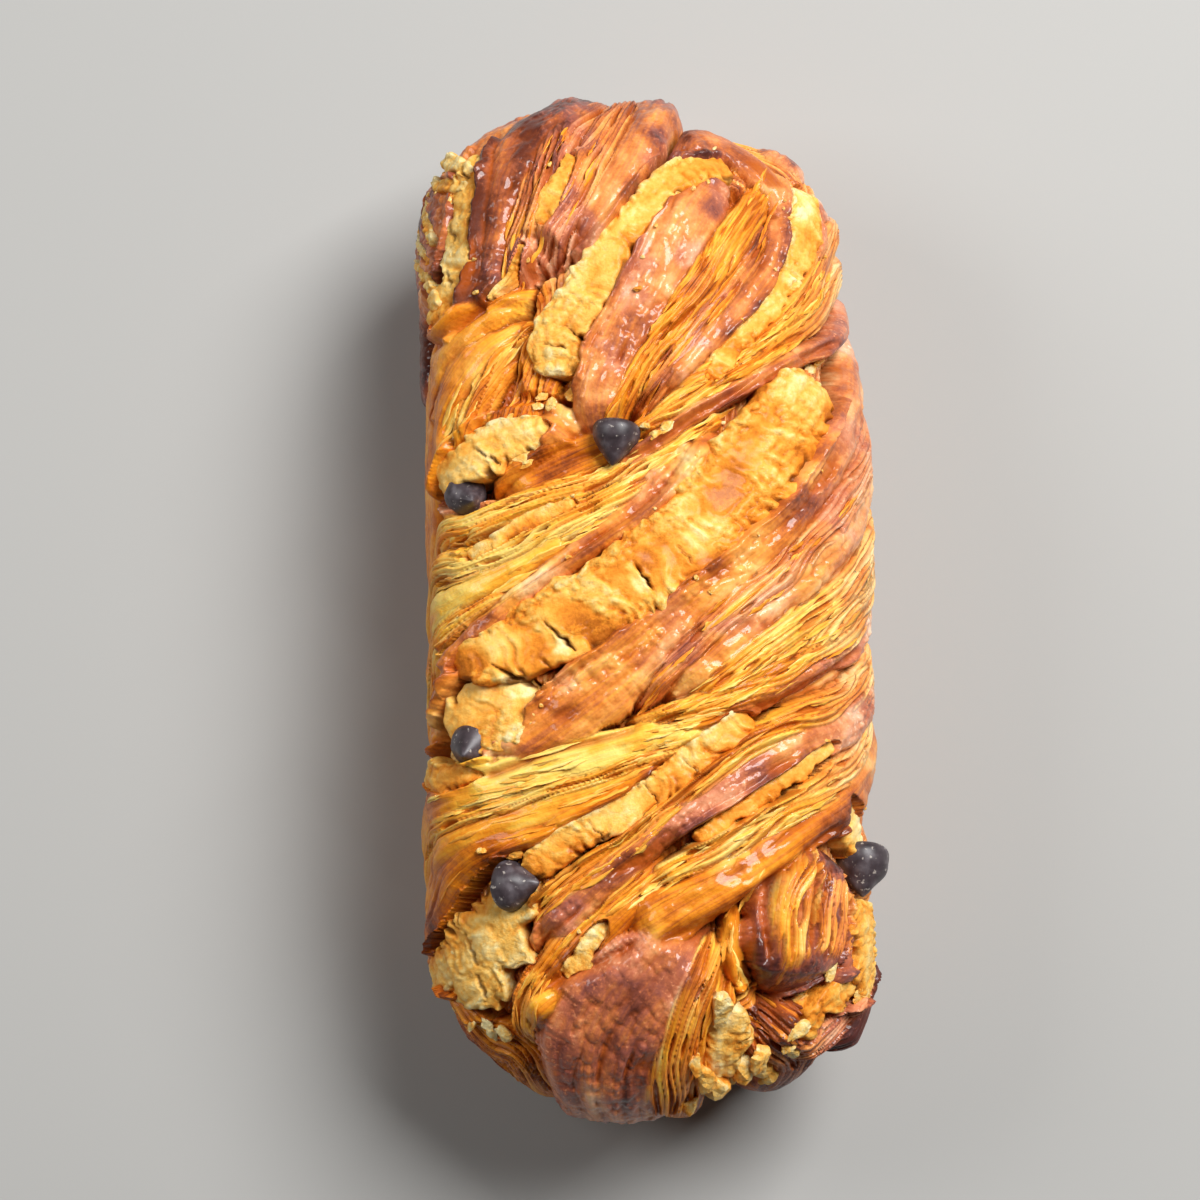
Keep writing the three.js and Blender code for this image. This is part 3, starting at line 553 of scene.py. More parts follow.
# The plain body under the strands: leaves that run along the loaf, pressed smooth on the walls.
stand = standing(flat_across, flat_along)
swelling = swell(flat_across, flat_along)
down_mm = from_spine(flat_across, flat_along)
relief_kept = 1 - WALL_PLAIN * ease(down_mm / SECTION_LENGTH, 0.48, 0.62)
body_lift, body_browner, body_gap = leaf_relief(flat_along, down_mm, 11)
body_height = body_lift * relief_kept + 0.6 * grain(flat_across / 9, flat_along / 14, 12)
dough = {
    "height": body_height * ease(SECTION_LENGTH - down_mm, 0, 6),
    "toast": 0.5 + body_browner * relief_kept,
    "rosy": np.full(flat_across.size, 0.3),
    "gloss": np.full(flat_across.size, 0.25),
    "gap": body_gap * relief_kept,
    "run": flat_along.copy(),
    "off": down_mm.copy(),
}


def lay_strand(row, seed, to_base):
    """Adds a strand to the dough: a superellipse arch over its line, with ragged sides and the
    relief of its kind, joined to what lies there by a soft maximum. Where it is on top it gives
    the dough its browning and finish. Ends that don't run to the base dive under."""
    kind, toast, crest, *points = row
    relief, rosy, gloss = SURFACES[kind]
    before, after = [], []
    if to_base:
        before, after = foot_of(points[0], points[1]), foot_of(points[-1], points[-2])
    reach = max(point[2] for point in points) * STRAND_SPREAD / 2 + STRAND_MARGIN
    chosen, run, off, width, length = near_line(before + points + after, reach)
    to_start = run + (NO_END if before else 0)
    to_stop = length - run + (NO_END if after else 0)
    from_end = np.minimum(to_start, to_stop)
    blunt = rounded_end(from_end, width, *STRAND_END)
    dive = DIVE_SHARE + (1 - DIVE_SHARE) * ease(from_end, 0, END_DIVE)
    side = 5 * np.sign(off)
    ragged = 1 + 0.1 * grain(run / 5, side, seed + 20) + 0.06 * grain(run / 1.7, side, seed + 21)
    out = np.abs(off) / (width / 2 * STRAND_SPREAD * np.maximum(blunt, NARROWEST) * ragged)
    arch = np.clip(1 - out ** (2 / STRAND_POWER), 0, 1) ** (STRAND_POWER / 2)
    lift, browner, gap = relief(run, off, seed)
    here, kept = stand[chosen], relief_kept[chosen]
    rise = min(STRAND_RISE, crest)
    height = (crest * dive + swelling[chosen]) * here - rise + rise * blunt * arch
    height = height + lift * here * kept * np.minimum(1, 2.5 * arch)
    height = np.where((out < 1) & (blunt > 0), height, BURIED)
    lead = (height - dough["height"][chosen]) / STRAND_BLEND
    share = 1 / (1 + np.exp(-np.clip(lead, -30, 30)))
    dough["height"][chosen] += STRAND_BLEND * np.logaddexp(0, lead)
    toast = toast + browner * kept + 0.12 * (arch - 0.7)
    fresh = {"toast": toast, "rosy": rosy, "gloss": gloss, "gap": gap * kept}
    for key, value in fresh.items():
        dough[key][chosen] += (value - dough[key][chosen]) * share
    on_top = share > 0.5
    dough["run"][chosen[on_top]] = run[on_top] + 7 * (seed % 97)
    dough["off"][chosen[on_top]] = off[on_top] + 13 * (seed % 89)


all_strands = CORNERS + TOP_END + FIRST_TURN + SECOND_TURN + THIRD_TURN + BOTTOM_END
for number, row in enumerate(all_strands + BULBS):
    lay_strand(row, STRAND_SEEDS[0] + STRAND_SEEDS[1] * number, number < len(all_strands))

CREASE_DEPTH = 2.2


def cut_crease(points):
    """Lowers the dough along a line by a bell across it that fades at both tips, and darkens it with
    painted shade.
    """
    chosen, run, off, width, length = near_line(points, 4)
    cut = np.exp(-((off / width) ** 2)) * ease(np.minimum(run, length - run), -1, 3)
    dough["height"][chosen] -= CREASE_DEPTH * cut
    dough["gap"][chosen] = np.maximum(dough["gap"][chosen], 0.9 * cut)


def blurred(values, cells):
    """Mean over a square of cells about each grid point, taken twice, by running sums down and across."""
    for axis in (0, 1, 0, 1):
        pad = [(cells + 1, cells) if k == axis else (0, 0) for k in (0, 1)]
        total = np.cumsum(np.pad(values, pad, mode="edge"), axis)
        size = values.shape[axis]
        after = np.take(total, np.arange(2 * cells + 1, 2 * cells + 1 + size), axis)
        values = (after - np.take(total, np.arange(size), axis)) / (2 * cells + 1)
    return values


BROAD_CELLS = 5
CLOSE_CELLS = 2
for points in CREASES:
    cut_crease(points)
smooth_height = blurred(dough["height"].reshape(grid_across.shape), BROAD_CELLS).ravel()

# The dough stands back from the halva, which lies in troughs with ragged sides, and is banked up
# against it, least where the halva is a thin thread.
TROUGH_SHARE = 0.86
TROUGH_DROP = 1.4
TROUGH_SEED = 700
BANK_ABOVE = 0.3
BANK_FALL = 3.0
BANK_MOST = 2.5
THREAD_DEPTH = 3
THREAD_BANK = 0.4
TEAR_DEPTH = 2.5


def lay_trough(row, seed):
    """Lowers the dough to a trough under a ribbon of halva, and raises it beside the ribbon to a bank
    that falls away as the square of the distance."""
    _, crest, depth, _, _, *points = row
    widest = max(point[2] for point in points)
    chosen, run, off, width, length = near_line(points, widest / 2 + 5)
    from_end = np.minimum(run, length - run)
    blunt = rounded_end(from_end, width, *STRAND_END)
    ragged = 1 + 0.12 * grain(run / 3, 5 * np.sign(off), seed)
    out = np.abs(off) / (width / 2 * TROUGH_SHARE * np.maximum(blunt, NARROWEST) * ragged)
    crown = (crest + swelling[chosen]) * stand[chosen]
    inside = (1 - ease(out, 0.85, 1.1)) * (blunt > 0)
    here = dough["height"][chosen]
    beside = np.maximum(np.abs(off) - width / 2, -from_end)
    bank = crown + BANK_ABOVE - BANK_FALL * np.maximum(beside / 3, 0) ** 2
    most = BANK_MOST if depth > THREAD_DEPTH else THREAD_BANK
    raised = here + np.clip(bank - smooth_height[chosen], 0, most)
    lowered = np.minimum(here, crown - TROUGH_DROP)
    dough["height"][chosen] = raised + (lowered - raised) * inside


for number, row in enumerate(HALVA):
    lay_trough(row, TROUGH_SEED + number)
opened, _ = torn(flat_across, flat_along)
dough["height"] -= TEAR_DEPTH * opened
# Torn places are darkened with painted shade as well.
dough["gap"] = np.maximum(dough["gap"], opened)

field = dough["height"].reshape(grid_across.shape)
broad_mean = blurred(field, BROAD_CELLS)
close_mean = blurred(field, CLOSE_CELLS)
# The dough's depth below its blurred surroundings is painted shade: the material darkens the hollows by
# it. How far the dough stands proud browns the ridges.
hollow = np.clip(0.6 * (broad_mean - field) + 1.3 * (close_mean - field), 0, 1)
proud = np.clip(field - broad_mean, 0, 1.5)


def tube_faces(stations, sides):
    """Faces of a closed tube of rings laid one after the other: quads between the rings, and a fan of
    triangles from a point in the middle of each end ring. The two middle points come last."""
    i, j = np.meshgrid(np.arange(stations - 1), np.arange(sides), indexing="ij")
    k = (j + 1) % sides
    quads = np.stack([i * sides + j, i * sides + k, (i + 1) * sides + k, (i + 1) * sides + j], -1)
    ring = np.arange(sides)
    after = (ring + 1) % sides
    last = (stations - 1) * sides
    first_fan = np.stack([np.full(sides, stations * sides), after, ring], -1)
    last_fan = np.stack([np.full(sides, stations * sides + 1), last + ring, last + after], -1)
    return quads.reshape(-1, 4), np.concatenate([first_fan, last_fan])


def with_middles(rings):
    """Each tube's points in one row, followed by the middle points of its first and last rings."""
    return np.concatenate([rings.reshape(len(rings), -1, rings.shape[-1]), rings[:, [0, -1]].mean(2)], 1)


def make_piece(name, rings, values, material, smooth=True, facing=None):
    """Closed tubes as one mesh: rings is an array (stations, sides, 3) in millimetres, or several of
    them in a row, and values the named numbers at its points, kept as attributes. The values run and
    off, millimetres along and across, become the UV map route. Both ends are closed to a middle point.
    Facing gives the points' outward directions where the mesh is one length of a longer surface."""
    stations, sides = rings.shape[-3:-1]
    rings = rings.reshape(-1, stations, sides, 3)
    quads, fans = tube_faces(stations, sides)
    first = np.arange(len(rings))[:, None, None] * (stations * sides + 2)
    quads, fans = (quads + first).reshape(-1, 4), (fans + first).reshape(-1, 3)
    points = with_middles(rings).reshape(-1, 3) * MM
    corners = np.concatenate([quads.ravel(), fans.ravel()])
    sizes = np.concatenate([np.full(len(quads), 4), np.full(len(fans), 3)])
    mesh = bpy.data.meshes.new(name)
    mesh.vertices.add(len(points))
    mesh.loops.add(len(corners))
    mesh.polygons.add(len(sizes))
    mesh.vertices.foreach_set("co", points.ravel())
    mesh.loops.foreach_set("vertex_index", corners)
    mesh.polygons.foreach_set("loop_start", np.concatenate([[0], np.cumsum(sizes)[:-1]]))
    mesh.update(calc_edges=True)
    mesh.polygons.foreach_set("use_smooth", np.full(len(sizes), smooth))
    full = {key: with_middles(part.reshape(*rings.shape[:3], 1)).ravel() for key, part in values.items()}
    route = np.stack([full.pop("run"), full.pop("off")], -1)
    mesh.uv_layers.new(name="route").data.foreach_set("uv", route[corners].ravel())
    for key, value in full.items():
        mesh.attributes.new(key, "FLOAT", "POINT").data.foreach_set("value", value)
    if facing is not None:
        shading = np.concatenate([facing.reshape(-1, 3), np.zeros((2, 3))])
        mesh.normals_split_custom_set_from_vertices(shading.tolist())
    mesh.materials.append(material)
    piece = bpy.data.objects.new(name, mesh)
    bpy.context.scene.collection.objects.link(piece)
    return piece


def linear(shade):
    """Linear RGBA of an sRGB hex colour."""
    parts = [int(shade[i : i + 2], 16) / 255 for i in (1, 3, 5)]
    return [p / 12.92 if p <= 0.04045 else ((p + 0.055) / 1.055) ** 2.4 for p in parts] + [1.0]


def new_material(name):
    """An empty node material."""
    material = bpy.data.materials.new(name)
    material.use_nodes = True
    material.node_tree.nodes.clear()
    return material, material.node_tree


def add_node(tree, kind, inputs=None, output=0, shades=None, **settings):
    """Adds a node and gives one of its outputs. Settings are its properties, inputs its values or the
    sockets linked to them, and shades the evenly spaced colours of a ramp."""
    made = tree.nodes.new("ShaderNode" + kind)
    for key, value in settings.items():
        setattr(made, key, value)
    for key, value in (inputs or {}).items():
        if isinstance(value, bpy.types.NodeSocket):
            tree.links.new(value, made.inputs[key])
        else:
            made.inputs[key].default_value = value
    if shades:
        stops = made.color_ramp.elements
        while len(stops) < len(shades):
            stops.new(1.0)
        for i, shade in enumerate(shades):
            stops[i].position = i / (len(shades) - 1)
            stops[i].color = linear(shade)
    return made.outputs[output] if made.outputs else made


# Baked dough: buttered layers browned in the oven. It gives the eye streaks from cream to brown
# along the strands, rosy brown where the crust was washed with egg, painted shade in the gaps and
# hollows, and a broken shine.
GOLDEN = ["#ffda6c", "#ffc040", "#fba52c", "#ea881a", "#c0600e", "#783408"]
ROSY = ["#f9d7ba", "#f1b892", "#e09268", "#be6b4a", "#8e4f42", "#502824"]
# Painted shade: the deep orange-brown that gaps and hollows are darkened towards, and how much.
HOLLOW_SHADE = "#ac4e08"
HOLLOW_SHADE_SHARE = 0.75
PATCH_MM = 4.5
PATCH_SHARE = 0.35
STREAK_MM = (26, 0.6)
STREAK_SHARE = 0.4
ROSY_CALM = 0.36
SPECK_MM = 1.1
SPECK_SHARE = 0.4
FLECK_MM = 1.0
FLECK_SHARE = 0.36
LEAF_MM = 0.7
LEAF_DRIFT_MM = (36, 4)
LEAF_DRIFT = 4.0
# Painted shade at the foot of each thin leaf, and a paler lip that is partly its raw edge and partly
# painted highlight.
LEAF_FOOT_SHADE = 0.4
LEAF_LIP_PALE_AND_HIGHLIGHT = 0.1
ROSY_PATCH = 0.8
DOUGH_ROUGHNESS = (0.3, 0.55)
COAT_SHARE = 0.85
DOUGH_BUMP_MM = 0.35


def baked_dough():
    """Browning is the surface's own, with patches, streaks, specks, pale flecks and the edges of thin
    leaves added. The edges are painted shade at each leaf's foot and a pale lip, partly its raw edge and
    partly painted highlight. It picks from a golden and a rosy ramp, mixed by how rosy the surface is,
    and gaps and hollows are darkened with painted shade. The coat is as strong as the surface is glossy."""
    material, tree = new_material("baked_dough")
    toast, rosy, gloss, gap, hollowness = (
        add_node(tree, "Attribute", output="Fac", attribute_name=name)
        for name in ("toast", "rosy", "gloss", "gap", "hollow")
    )
    place = add_node(tree, "TexCoord", output="Object")
    route = add_node(tree, "UVMap", uv_map="route")
    patch, speck, fleck = (
        add_node(tree, "TexNoise", {0: place, "Scale": 1 / (size * MM), "Detail": 5.0, "Roughness": rough})
        for size, rough in ((PATCH_MM, 0.5), (SPECK_MM, 0.65), (FLECK_MM, 0.5))
    )
    drawn_out = (
        add_node(tree, "VectorMath", {0: route, 1: (1 / long, 1 / wide, 1)}, operation="MULTIPLY")
        for long, wide in (STREAK_MM, LEAF_DRIFT_MM)
    )
    streak, drift = (
        add_node(tree, "TexNoise", {0: vector, "Scale": 1.0, "Detail": detail})
        for vector, detail in zip(drawn_out, (3.0, 2.0))
    )
    streaky = add_node(tree, "Math", {0: rosy, 1: -ROSY_CALM, 2: STREAK_SHARE}, operation="MULTIPLY_ADD")
    streak_off = add_node(tree, "Math", {0: streak, 1: 0.5}, operation="SUBTRACT")
    speck_off = add_node(tree, "Math", {0: speck, 1: 0.5}, operation="SUBTRACT")
    smooth = {"interpolation_type": "SMOOTHSTEP"}
    pale = add_node(tree, "MapRange", {0: fleck, 1: 0.54, 2: 0.7, 3: 0.0, 4: -FLECK_SHARE}, **smooth)
    flecked = add_node(tree, "Math", {0: patch, 1: rosy}, operation="MULTIPLY")
    beside = add_node(tree, "SeparateXYZ", {0: route}, 1)
    layer = add_node(tree, "Math", {0: beside, 1: 1 / LEAF_MM}, operation="MULTIPLY")
    layer = add_node(tree, "Math", {0: drift, 1: LEAF_DRIFT, 2: layer}, operation="MULTIPLY_ADD")
    inside = add_node(tree, "Math", {0: layer}, operation="FRACT")
    # Each thin leaf is browner at its foot, which is painted shade under the step of its bump, and paler
    # at its lip, partly its raw edge and partly painted highlight.
    under, lip = (
        add_node(tree, "MapRange", {0: inside, 1: low, 2: high, 3: start, 4: stop}, **smooth)
        for low, high, start, stop in ((0.0, 0.3, LEAF_FOOT_SHADE, 0.0), (0.5, 0.95, 0.0, LEAF_LIP_PALE_AND_HIGHLIGHT))
    )
    edge = add_node(tree, "Math", {0: under, 1: lip}, operation="SUBTRACT")
    edge = add_node(tree, "Math", {0: edge, 1: streak}, operation="MULTIPLY")
    leafy = add_node(tree, "MapRange", {0: gloss, 1: 0.2, 2: 0.6, 3: 1.0, 4: 0.08})
    browned = add_node(tree, "Math", {0: toast, 1: PATCH_SHARE / 2}, operation="SUBTRACT")
    marks = (patch, PATCH_SHARE), (streak_off, streaky), (speck_off, SPECK_SHARE)
    for part, share in (*marks, (pale, flecked), (edge, leafy)):
        browned = add_node(tree, "Math", {0: part, 1: share, 2: browned}, operation="MULTIPLY_ADD")
    golden = add_node(tree, "ValToRGB", {0: browned}, shades=GOLDEN)
    reddish = add_node(tree, "ValToRGB", {0: browned}, shades=ROSY)
    rosy_parts = {0: streak_off, 1: ROSY_PATCH, 2: rosy}
    rosier = add_node(tree, "Math", rosy_parts, operation="MULTIPLY_ADD", use_clamp=True)
    colour = add_node(tree, "Mix", {0: rosier, 6: golden, 7: reddish}, 2, data_type="RGBA")
    # Painted shade: gaps and hollows are darkened towards a deep orange-brown.
    shade = add_node(tree, "Math", {0: gap, 1: hollowness}, operation="MAXIMUM", use_clamp=True)
    shade = add_node(tree, "Math", {0: shade, 1: HOLLOW_SHADE_SHARE}, operation="MULTIPLY")
    colour = add_node(tree, "Mix", {0: shade, 6: colour, 7: linear(HOLLOW_SHADE)}, 2, data_type="RGBA")
    smoothest, roughest = DOUGH_ROUGHNESS
    roughness = add_node(tree, "MapRange", {0: patch, 1: 0.3, 2: 0.7, 3: smoothest, 4: roughest})
    coat = add_node(tree, "Math", {0: gloss, 1: COAT_SHARE}, operation="MULTIPLY")
    relief = add_node(tree, "Math", {0: streak, 1: leafy, 2: speck}, operation="MULTIPLY_ADD")
    stepped = add_node(tree, "Math", {0: inside, 1: leafy}, operation="MULTIPLY")
    relief = add_node(tree, "Math", {0: stepped, 1: 0.9, 2: relief}, operation="MULTIPLY_ADD")
    bump = {"Height": relief, "Strength": 0.7, "Distance": DOUGH_BUMP_MM * MM}
    skin = {
        "Base Color": colour,
        "Roughness": roughness,
        "Normal": add_node(tree, "Bump", bump),
        "Specular IOR Level": 0.15,
        "Coat Weight": coat,
        "Coat Roughness": 0.1,
    }
    add_node(tree, "OutputMaterial", {"Surface": add_node(tree, "BsdfPrincipled", skin)})
    return material


# The walls browned evenly against the tin, ridges are browner than hollows, and the left edge is
# browner. The right edge is paler and rosier: painted light, on the side that faces the key lamp.
WALL_TOAST = 0.55
WALL_TOAST_SHARE = 0.6
WALL_ROSY = 0.4
WALL_ROSY_SHARE = 0.7
RIDGE_TOAST = 0.1
LEFT_TOAST = 0.09
RIGHT_PAINTED_LIGHT = 0.15
RIGHT_PAINTED_LIGHT_ROSY = 0.35
PATCHY_TOAST = 0.16
wall = ease(from_spine(grid_across, grid_along) / SECTION_LENGTH, 0.6, 0.85)
crust_values = {key: part.reshape(field.shape) for key, part in dough.items() if key != "height"}
toast, rosy = crust_values["toast"], crust_values["rosy"]
toast = toast + WALL_TOAST_SHARE * wall * (WALL_TOAST - toast) + RIDGE_TOAST * proud
# Paler on the right flank, which faces the key lamp: painted light.
toast = toast + LEFT_TOAST * ease(-grid_across, 30, 46) - RIGHT_PAINTED_LIGHT * ease(grid_across, 40, 52)
toast = toast + PATCHY_TOAST * lumps(grid_across / 6, grid_along / 6, 22)
rosy = rosy + WALL_ROSY_SHARE * wall * (WALL_ROSY - rosy)
rosy = rosy * (0.8 + 0.75 * ease(lumps(grid_across / 8, grid_along / 8, 21), 0.05, 0.6))
# Rosier on the right flank: painted light as well.
rosy = rosy + RIGHT_PAINTED_LIGHT_ROSY * ease(grid_across, 24, 42)
crust_values.update(toast=toast, rosy=rosy, hollow=hollow)


def ring_facing(rings):
    """Outward directions on closed rings: the cross product of the steps around and along."""
    around = np.roll(rings, -1, 1) - np.roll(rings, 1, 1)
    return unit(np.cross(around, np.gradient(rings, axis=0)))


# Each ring goes over the top and back under the base, which is flat. The crust is meshed in five
# closed lengths that meet end to end, as one mesh would be too large.
BASE_POINTS = 5
CRUST_LENGTHS = 5
top_points = above_body(grid_across, grid_along, field)
under = np.linspace(1, -1, BASE_POINTS + 2)[1:-1, None]
base_points = top_points[:, :1] * (0.5 - under / 2) + top_points[:, -1:] * (0.5 + under / 2)
base_points[..., 2] = 0
crust_rings = np.concatenate([top_points, base_points], 1)
crust_facing = ring_facing(crust_rings)
for key, part in crust_values.items():
    crust_values[key] = np.concatenate([part, np.repeat(part[:, -1:], BASE_POINTS, 1)], 1)
dough_finish = baked_dough()
cuts = np.linspace(0, len(crust_rings) - 1, CRUST_LENGTHS + 1).astype(int)
for number, (start, stop) in enumerate(zip(cuts[:-1], cuts[1:] + 1)):
    crust = make_piece(
        f"dough_crust_{number + 1}",
        crust_rings[start:stop],
        {key: part[start:stop] for key, part in crust_values.items()},
        dough_finish,
        facing=crust_facing[start:stop],
    )
    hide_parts("dough")
    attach(crust, "root")

# The halva: a crumbly paste of sesame and sugar, spread on the dough before it was rolled. Where
# the strands opened it shows as ribbons that run down into the loaf, toasted on top and cracked
# across.
HALVA_FOOT = 0.55
HALVA_RISE = 3.0
HALVA_POWER = 0.32
HALVA_END = (0.35, 0.4)
HALVA_STEP = 0.32
HALVA_GRAIN = 0.26
HALVA_SIDES = (16, 90)
HALVA_TEAR = 2.0
HALVA_SEEDS = (13000, 40)
KEEL_POINTS = 5


def halva_relief(run, off, half, folded, seed):
    """Soft folds that cross the ribbon, fibres that stand out towards its right edge and end in
    notches there, crumbs thick along its left edge, and broad lumps. Gives height in millimetres,
    change of browning, notch, and how crumbly it is."""
    beside = off / half
    bent = run + 2.4 * grain(run / 7, off / 5, seed) + 0.8 * grain(run / 2.3, off / 3, seed + 11)
    fold = 0.8 * grain(bent / 3.6, off / 16, seed + 1) + 0.4 * grain(bent / 1.9, off / 9, seed + 12)
    fibre = grain(bent / 1.1, off / 8, seed + 2)
    fibrous = 0.2 + 0.8 * ease(-beside, -0.6, 0.5)
    loose = ease(lumps(run / 9, off / 6, seed + 4), 0.1, 0.45)
    crumbly = np.maximum(np.maximum(ease(beside, 0.45, 0.85), 0.7 * loose), 0.8 - 0.8 * folded)
    crumbly = 0.12 + 0.88 * crumbly
    crumb = bubbles(bent / 2.4, off / 2, seed + 5) + 0.45 * grain(bent / 1.1, off / 1.1, seed + 6) + 0.2
    notch = ease(-fibre, 0.25, 0.5) * ease(-beside, 0.6, 0.82)
    height = 0.5 * lumps(run / 7, off / 5, seed + 7) + folded * (0.4 * fold + 0.35 * fibrous * fibre)
    height = height + 0.7 * crumbly * (crumb - 0.5) - 0.9 * notch
    browner = 0.34 * lumps(run / 9, off / 5, seed + 8) - folded * (0.24 * fold + 0.2 * fibrous * fibre)
    browner = browner - 0.3 * crumbly * (crumb - 0.3) + 0.12 * ease(-beside, 0, 0.8)
    return height, browner, notch, crumbly


def halva_ribbon(crest, depth, rough, toast, points, seed):
    """A ribbon: a flat-topped superellipse arch with the crumbly relief, carried along its line,
    over a narrower keel down to its depth. Its edges are ragged and its torn places stand open."""
    run, line, heading = smooth_line(points, HALVA_STEP)
    run = run[:, None]
    across, along, width = line.T[:, :, None]
    ahead_x, ahead_y = heading.T[:, :, None]
    blunt = rounded_end(np.minimum(run, run[-1] - run), width, *HALVA_END)
    sides = int(np.clip(width.max() / HALVA_GRAIN, *HALVA_SIDES))
    out = np.sin(np.linspace(1, -1, sides) * np.pi / 2)
    arch = np.clip(1 - np.abs(out) ** (2 / HALVA_POWER), 0, 1) ** (HALVA_POWER / 2)
    side = 5 * np.sign(out)
    ragged = grain(run / 4, side, seed + 9) + 0.6 * grain(run / 1.4, side, seed + 10)
    half = width * blunt / 2 * (1.05 + rough * ragged)
    off = half * out
    folded = np.clip(1.25 - 2.5 * rough, 0.1, 1)
    lift, browner, notch, crumbly = halva_relief(run, off, half, folded, seed)
    top = (crest + swell(across, along)) * standing(across, along) - HALVA_RISE
    height = top + HALVA_RISE * blunt * arch + lift * np.minimum(1, 2 * arch)
    gap, pale = torn(across - ahead_y * off, along + ahead_x * off)
    height = height - HALVA_TEAR * gap + 0.2 * pale * (1 - gap)
    # Torn places and notches carry the gap, which the material darkens as painted shade.
    gap = np.maximum(gap, 0.9 * notch)
    keel = np.linspace(-1, 1, KEEL_POINTS + 2)[1:-1]
    blank = np.zeros((len(run), KEEL_POINTS))
    height = np.concatenate([height, blank - depth * np.sqrt(1 - keel**2)], 1)
    off = np.concatenate([off, HALVA_FOOT * half[:, :1] * keel], 1)
    rings = above_body(across - ahead_y * off, along + ahead_x * off, height)
    values = {
        "run": run + 0 * off,
        "off": off,
        "toast": np.concatenate([toast + browner - 0.36 * pale, blank], 1),
        "gap": np.concatenate([gap, blank + 1], 1),
        "crumbly": np.concatenate([crumbly, blank], 1),
    }
    return rings, values


# Baked halva: ground sesame and sugar, dry and short. It gives the eye a matt pale yellow of fine
# crumbs, toasted to orange in patches, with painted shade in its cracks and notches.
HALVA_SHADES = ["#ffecb0", "#ffd988", "#fec45e", "#f9aa40", "#ec8e26", "#be6814"]
HALVA_CRACK_SHADE = "#6c3a08"
HALVA_CRUMB_MM = 1.2
HALVA_BUMP_MM = 0.7


def baked_halva():
    """The ribbon's browning, mottled by a crumb-sized noise that is stronger where it is crumbly, picks
    from a ramp, and gaps are darkened with painted shade. The same noise is its bump."""
    material, tree = new_material("baked_halva")
    toast, gap, crumbly = (
        add_node(tree, "Attribute", output="Fac", attribute_name=name)
        for name in ("toast", "gap", "crumbly")
    )
    place = add_node(tree, "TexCoord", output="Object")
    noise = {"Vector": place, "Scale": 1 / (HALVA_CRUMB_MM * MM), "Detail": 5.0, "Roughness": 0.7}
    crumb = add_node(tree, "TexNoise", noise)
    strong = add_node(tree, "Math", {0: crumbly, 1: 0.7, 2: 0.5}, operation="MULTIPLY_ADD")
    mottle = add_node(tree, "Math", {0: crumb, 1: 0.5}, operation="SUBTRACT")
    browned = add_node(tree, "Math", {0: mottle, 1: strong, 2: toast}, operation="MULTIPLY_ADD")
    colour = add_node(tree, "ValToRGB", {0: browned}, shades=HALVA_SHADES)
    # Painted shade: cracks and notches are darkened towards a dark brown.
    colour = add_node(tree, "Mix", {0: gap, 6: colour, 7: linear(HALVA_CRACK_SHADE)}, 2, data_type="RGBA")
    bump = {"Height": crumb, "Strength": strong, "Distance": HALVA_BUMP_MM * MM}
    skin = {
        "Base Color": colour,
        "Roughness": 0.6,
        "Normal": add_node(tree, "Bump", bump),
        "Specular IOR Level": 0.15,
        "Coat Weight": 0.15,
        "Coat Roughness": 0.2,
    }
    add_node(tree, "OutputMaterial", {"Surface": add_node(tree, "BsdfPrincipled", skin)})
    return material


halva_finish = baked_halva()
for number, (node, crest, depth, rough, browning, *points) in enumerate(HALVA):
    seed = HALVA_SEEDS[0] + HALVA_SEEDS[1] * number
    rings, values = halva_ribbon(crest, depth, rough, browning, points, seed)
    ribbon = make_piece(f"{node}_ribbon_{number + 1}", rings, values, halva_finish)
    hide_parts(node)
    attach(ribbon, "root")

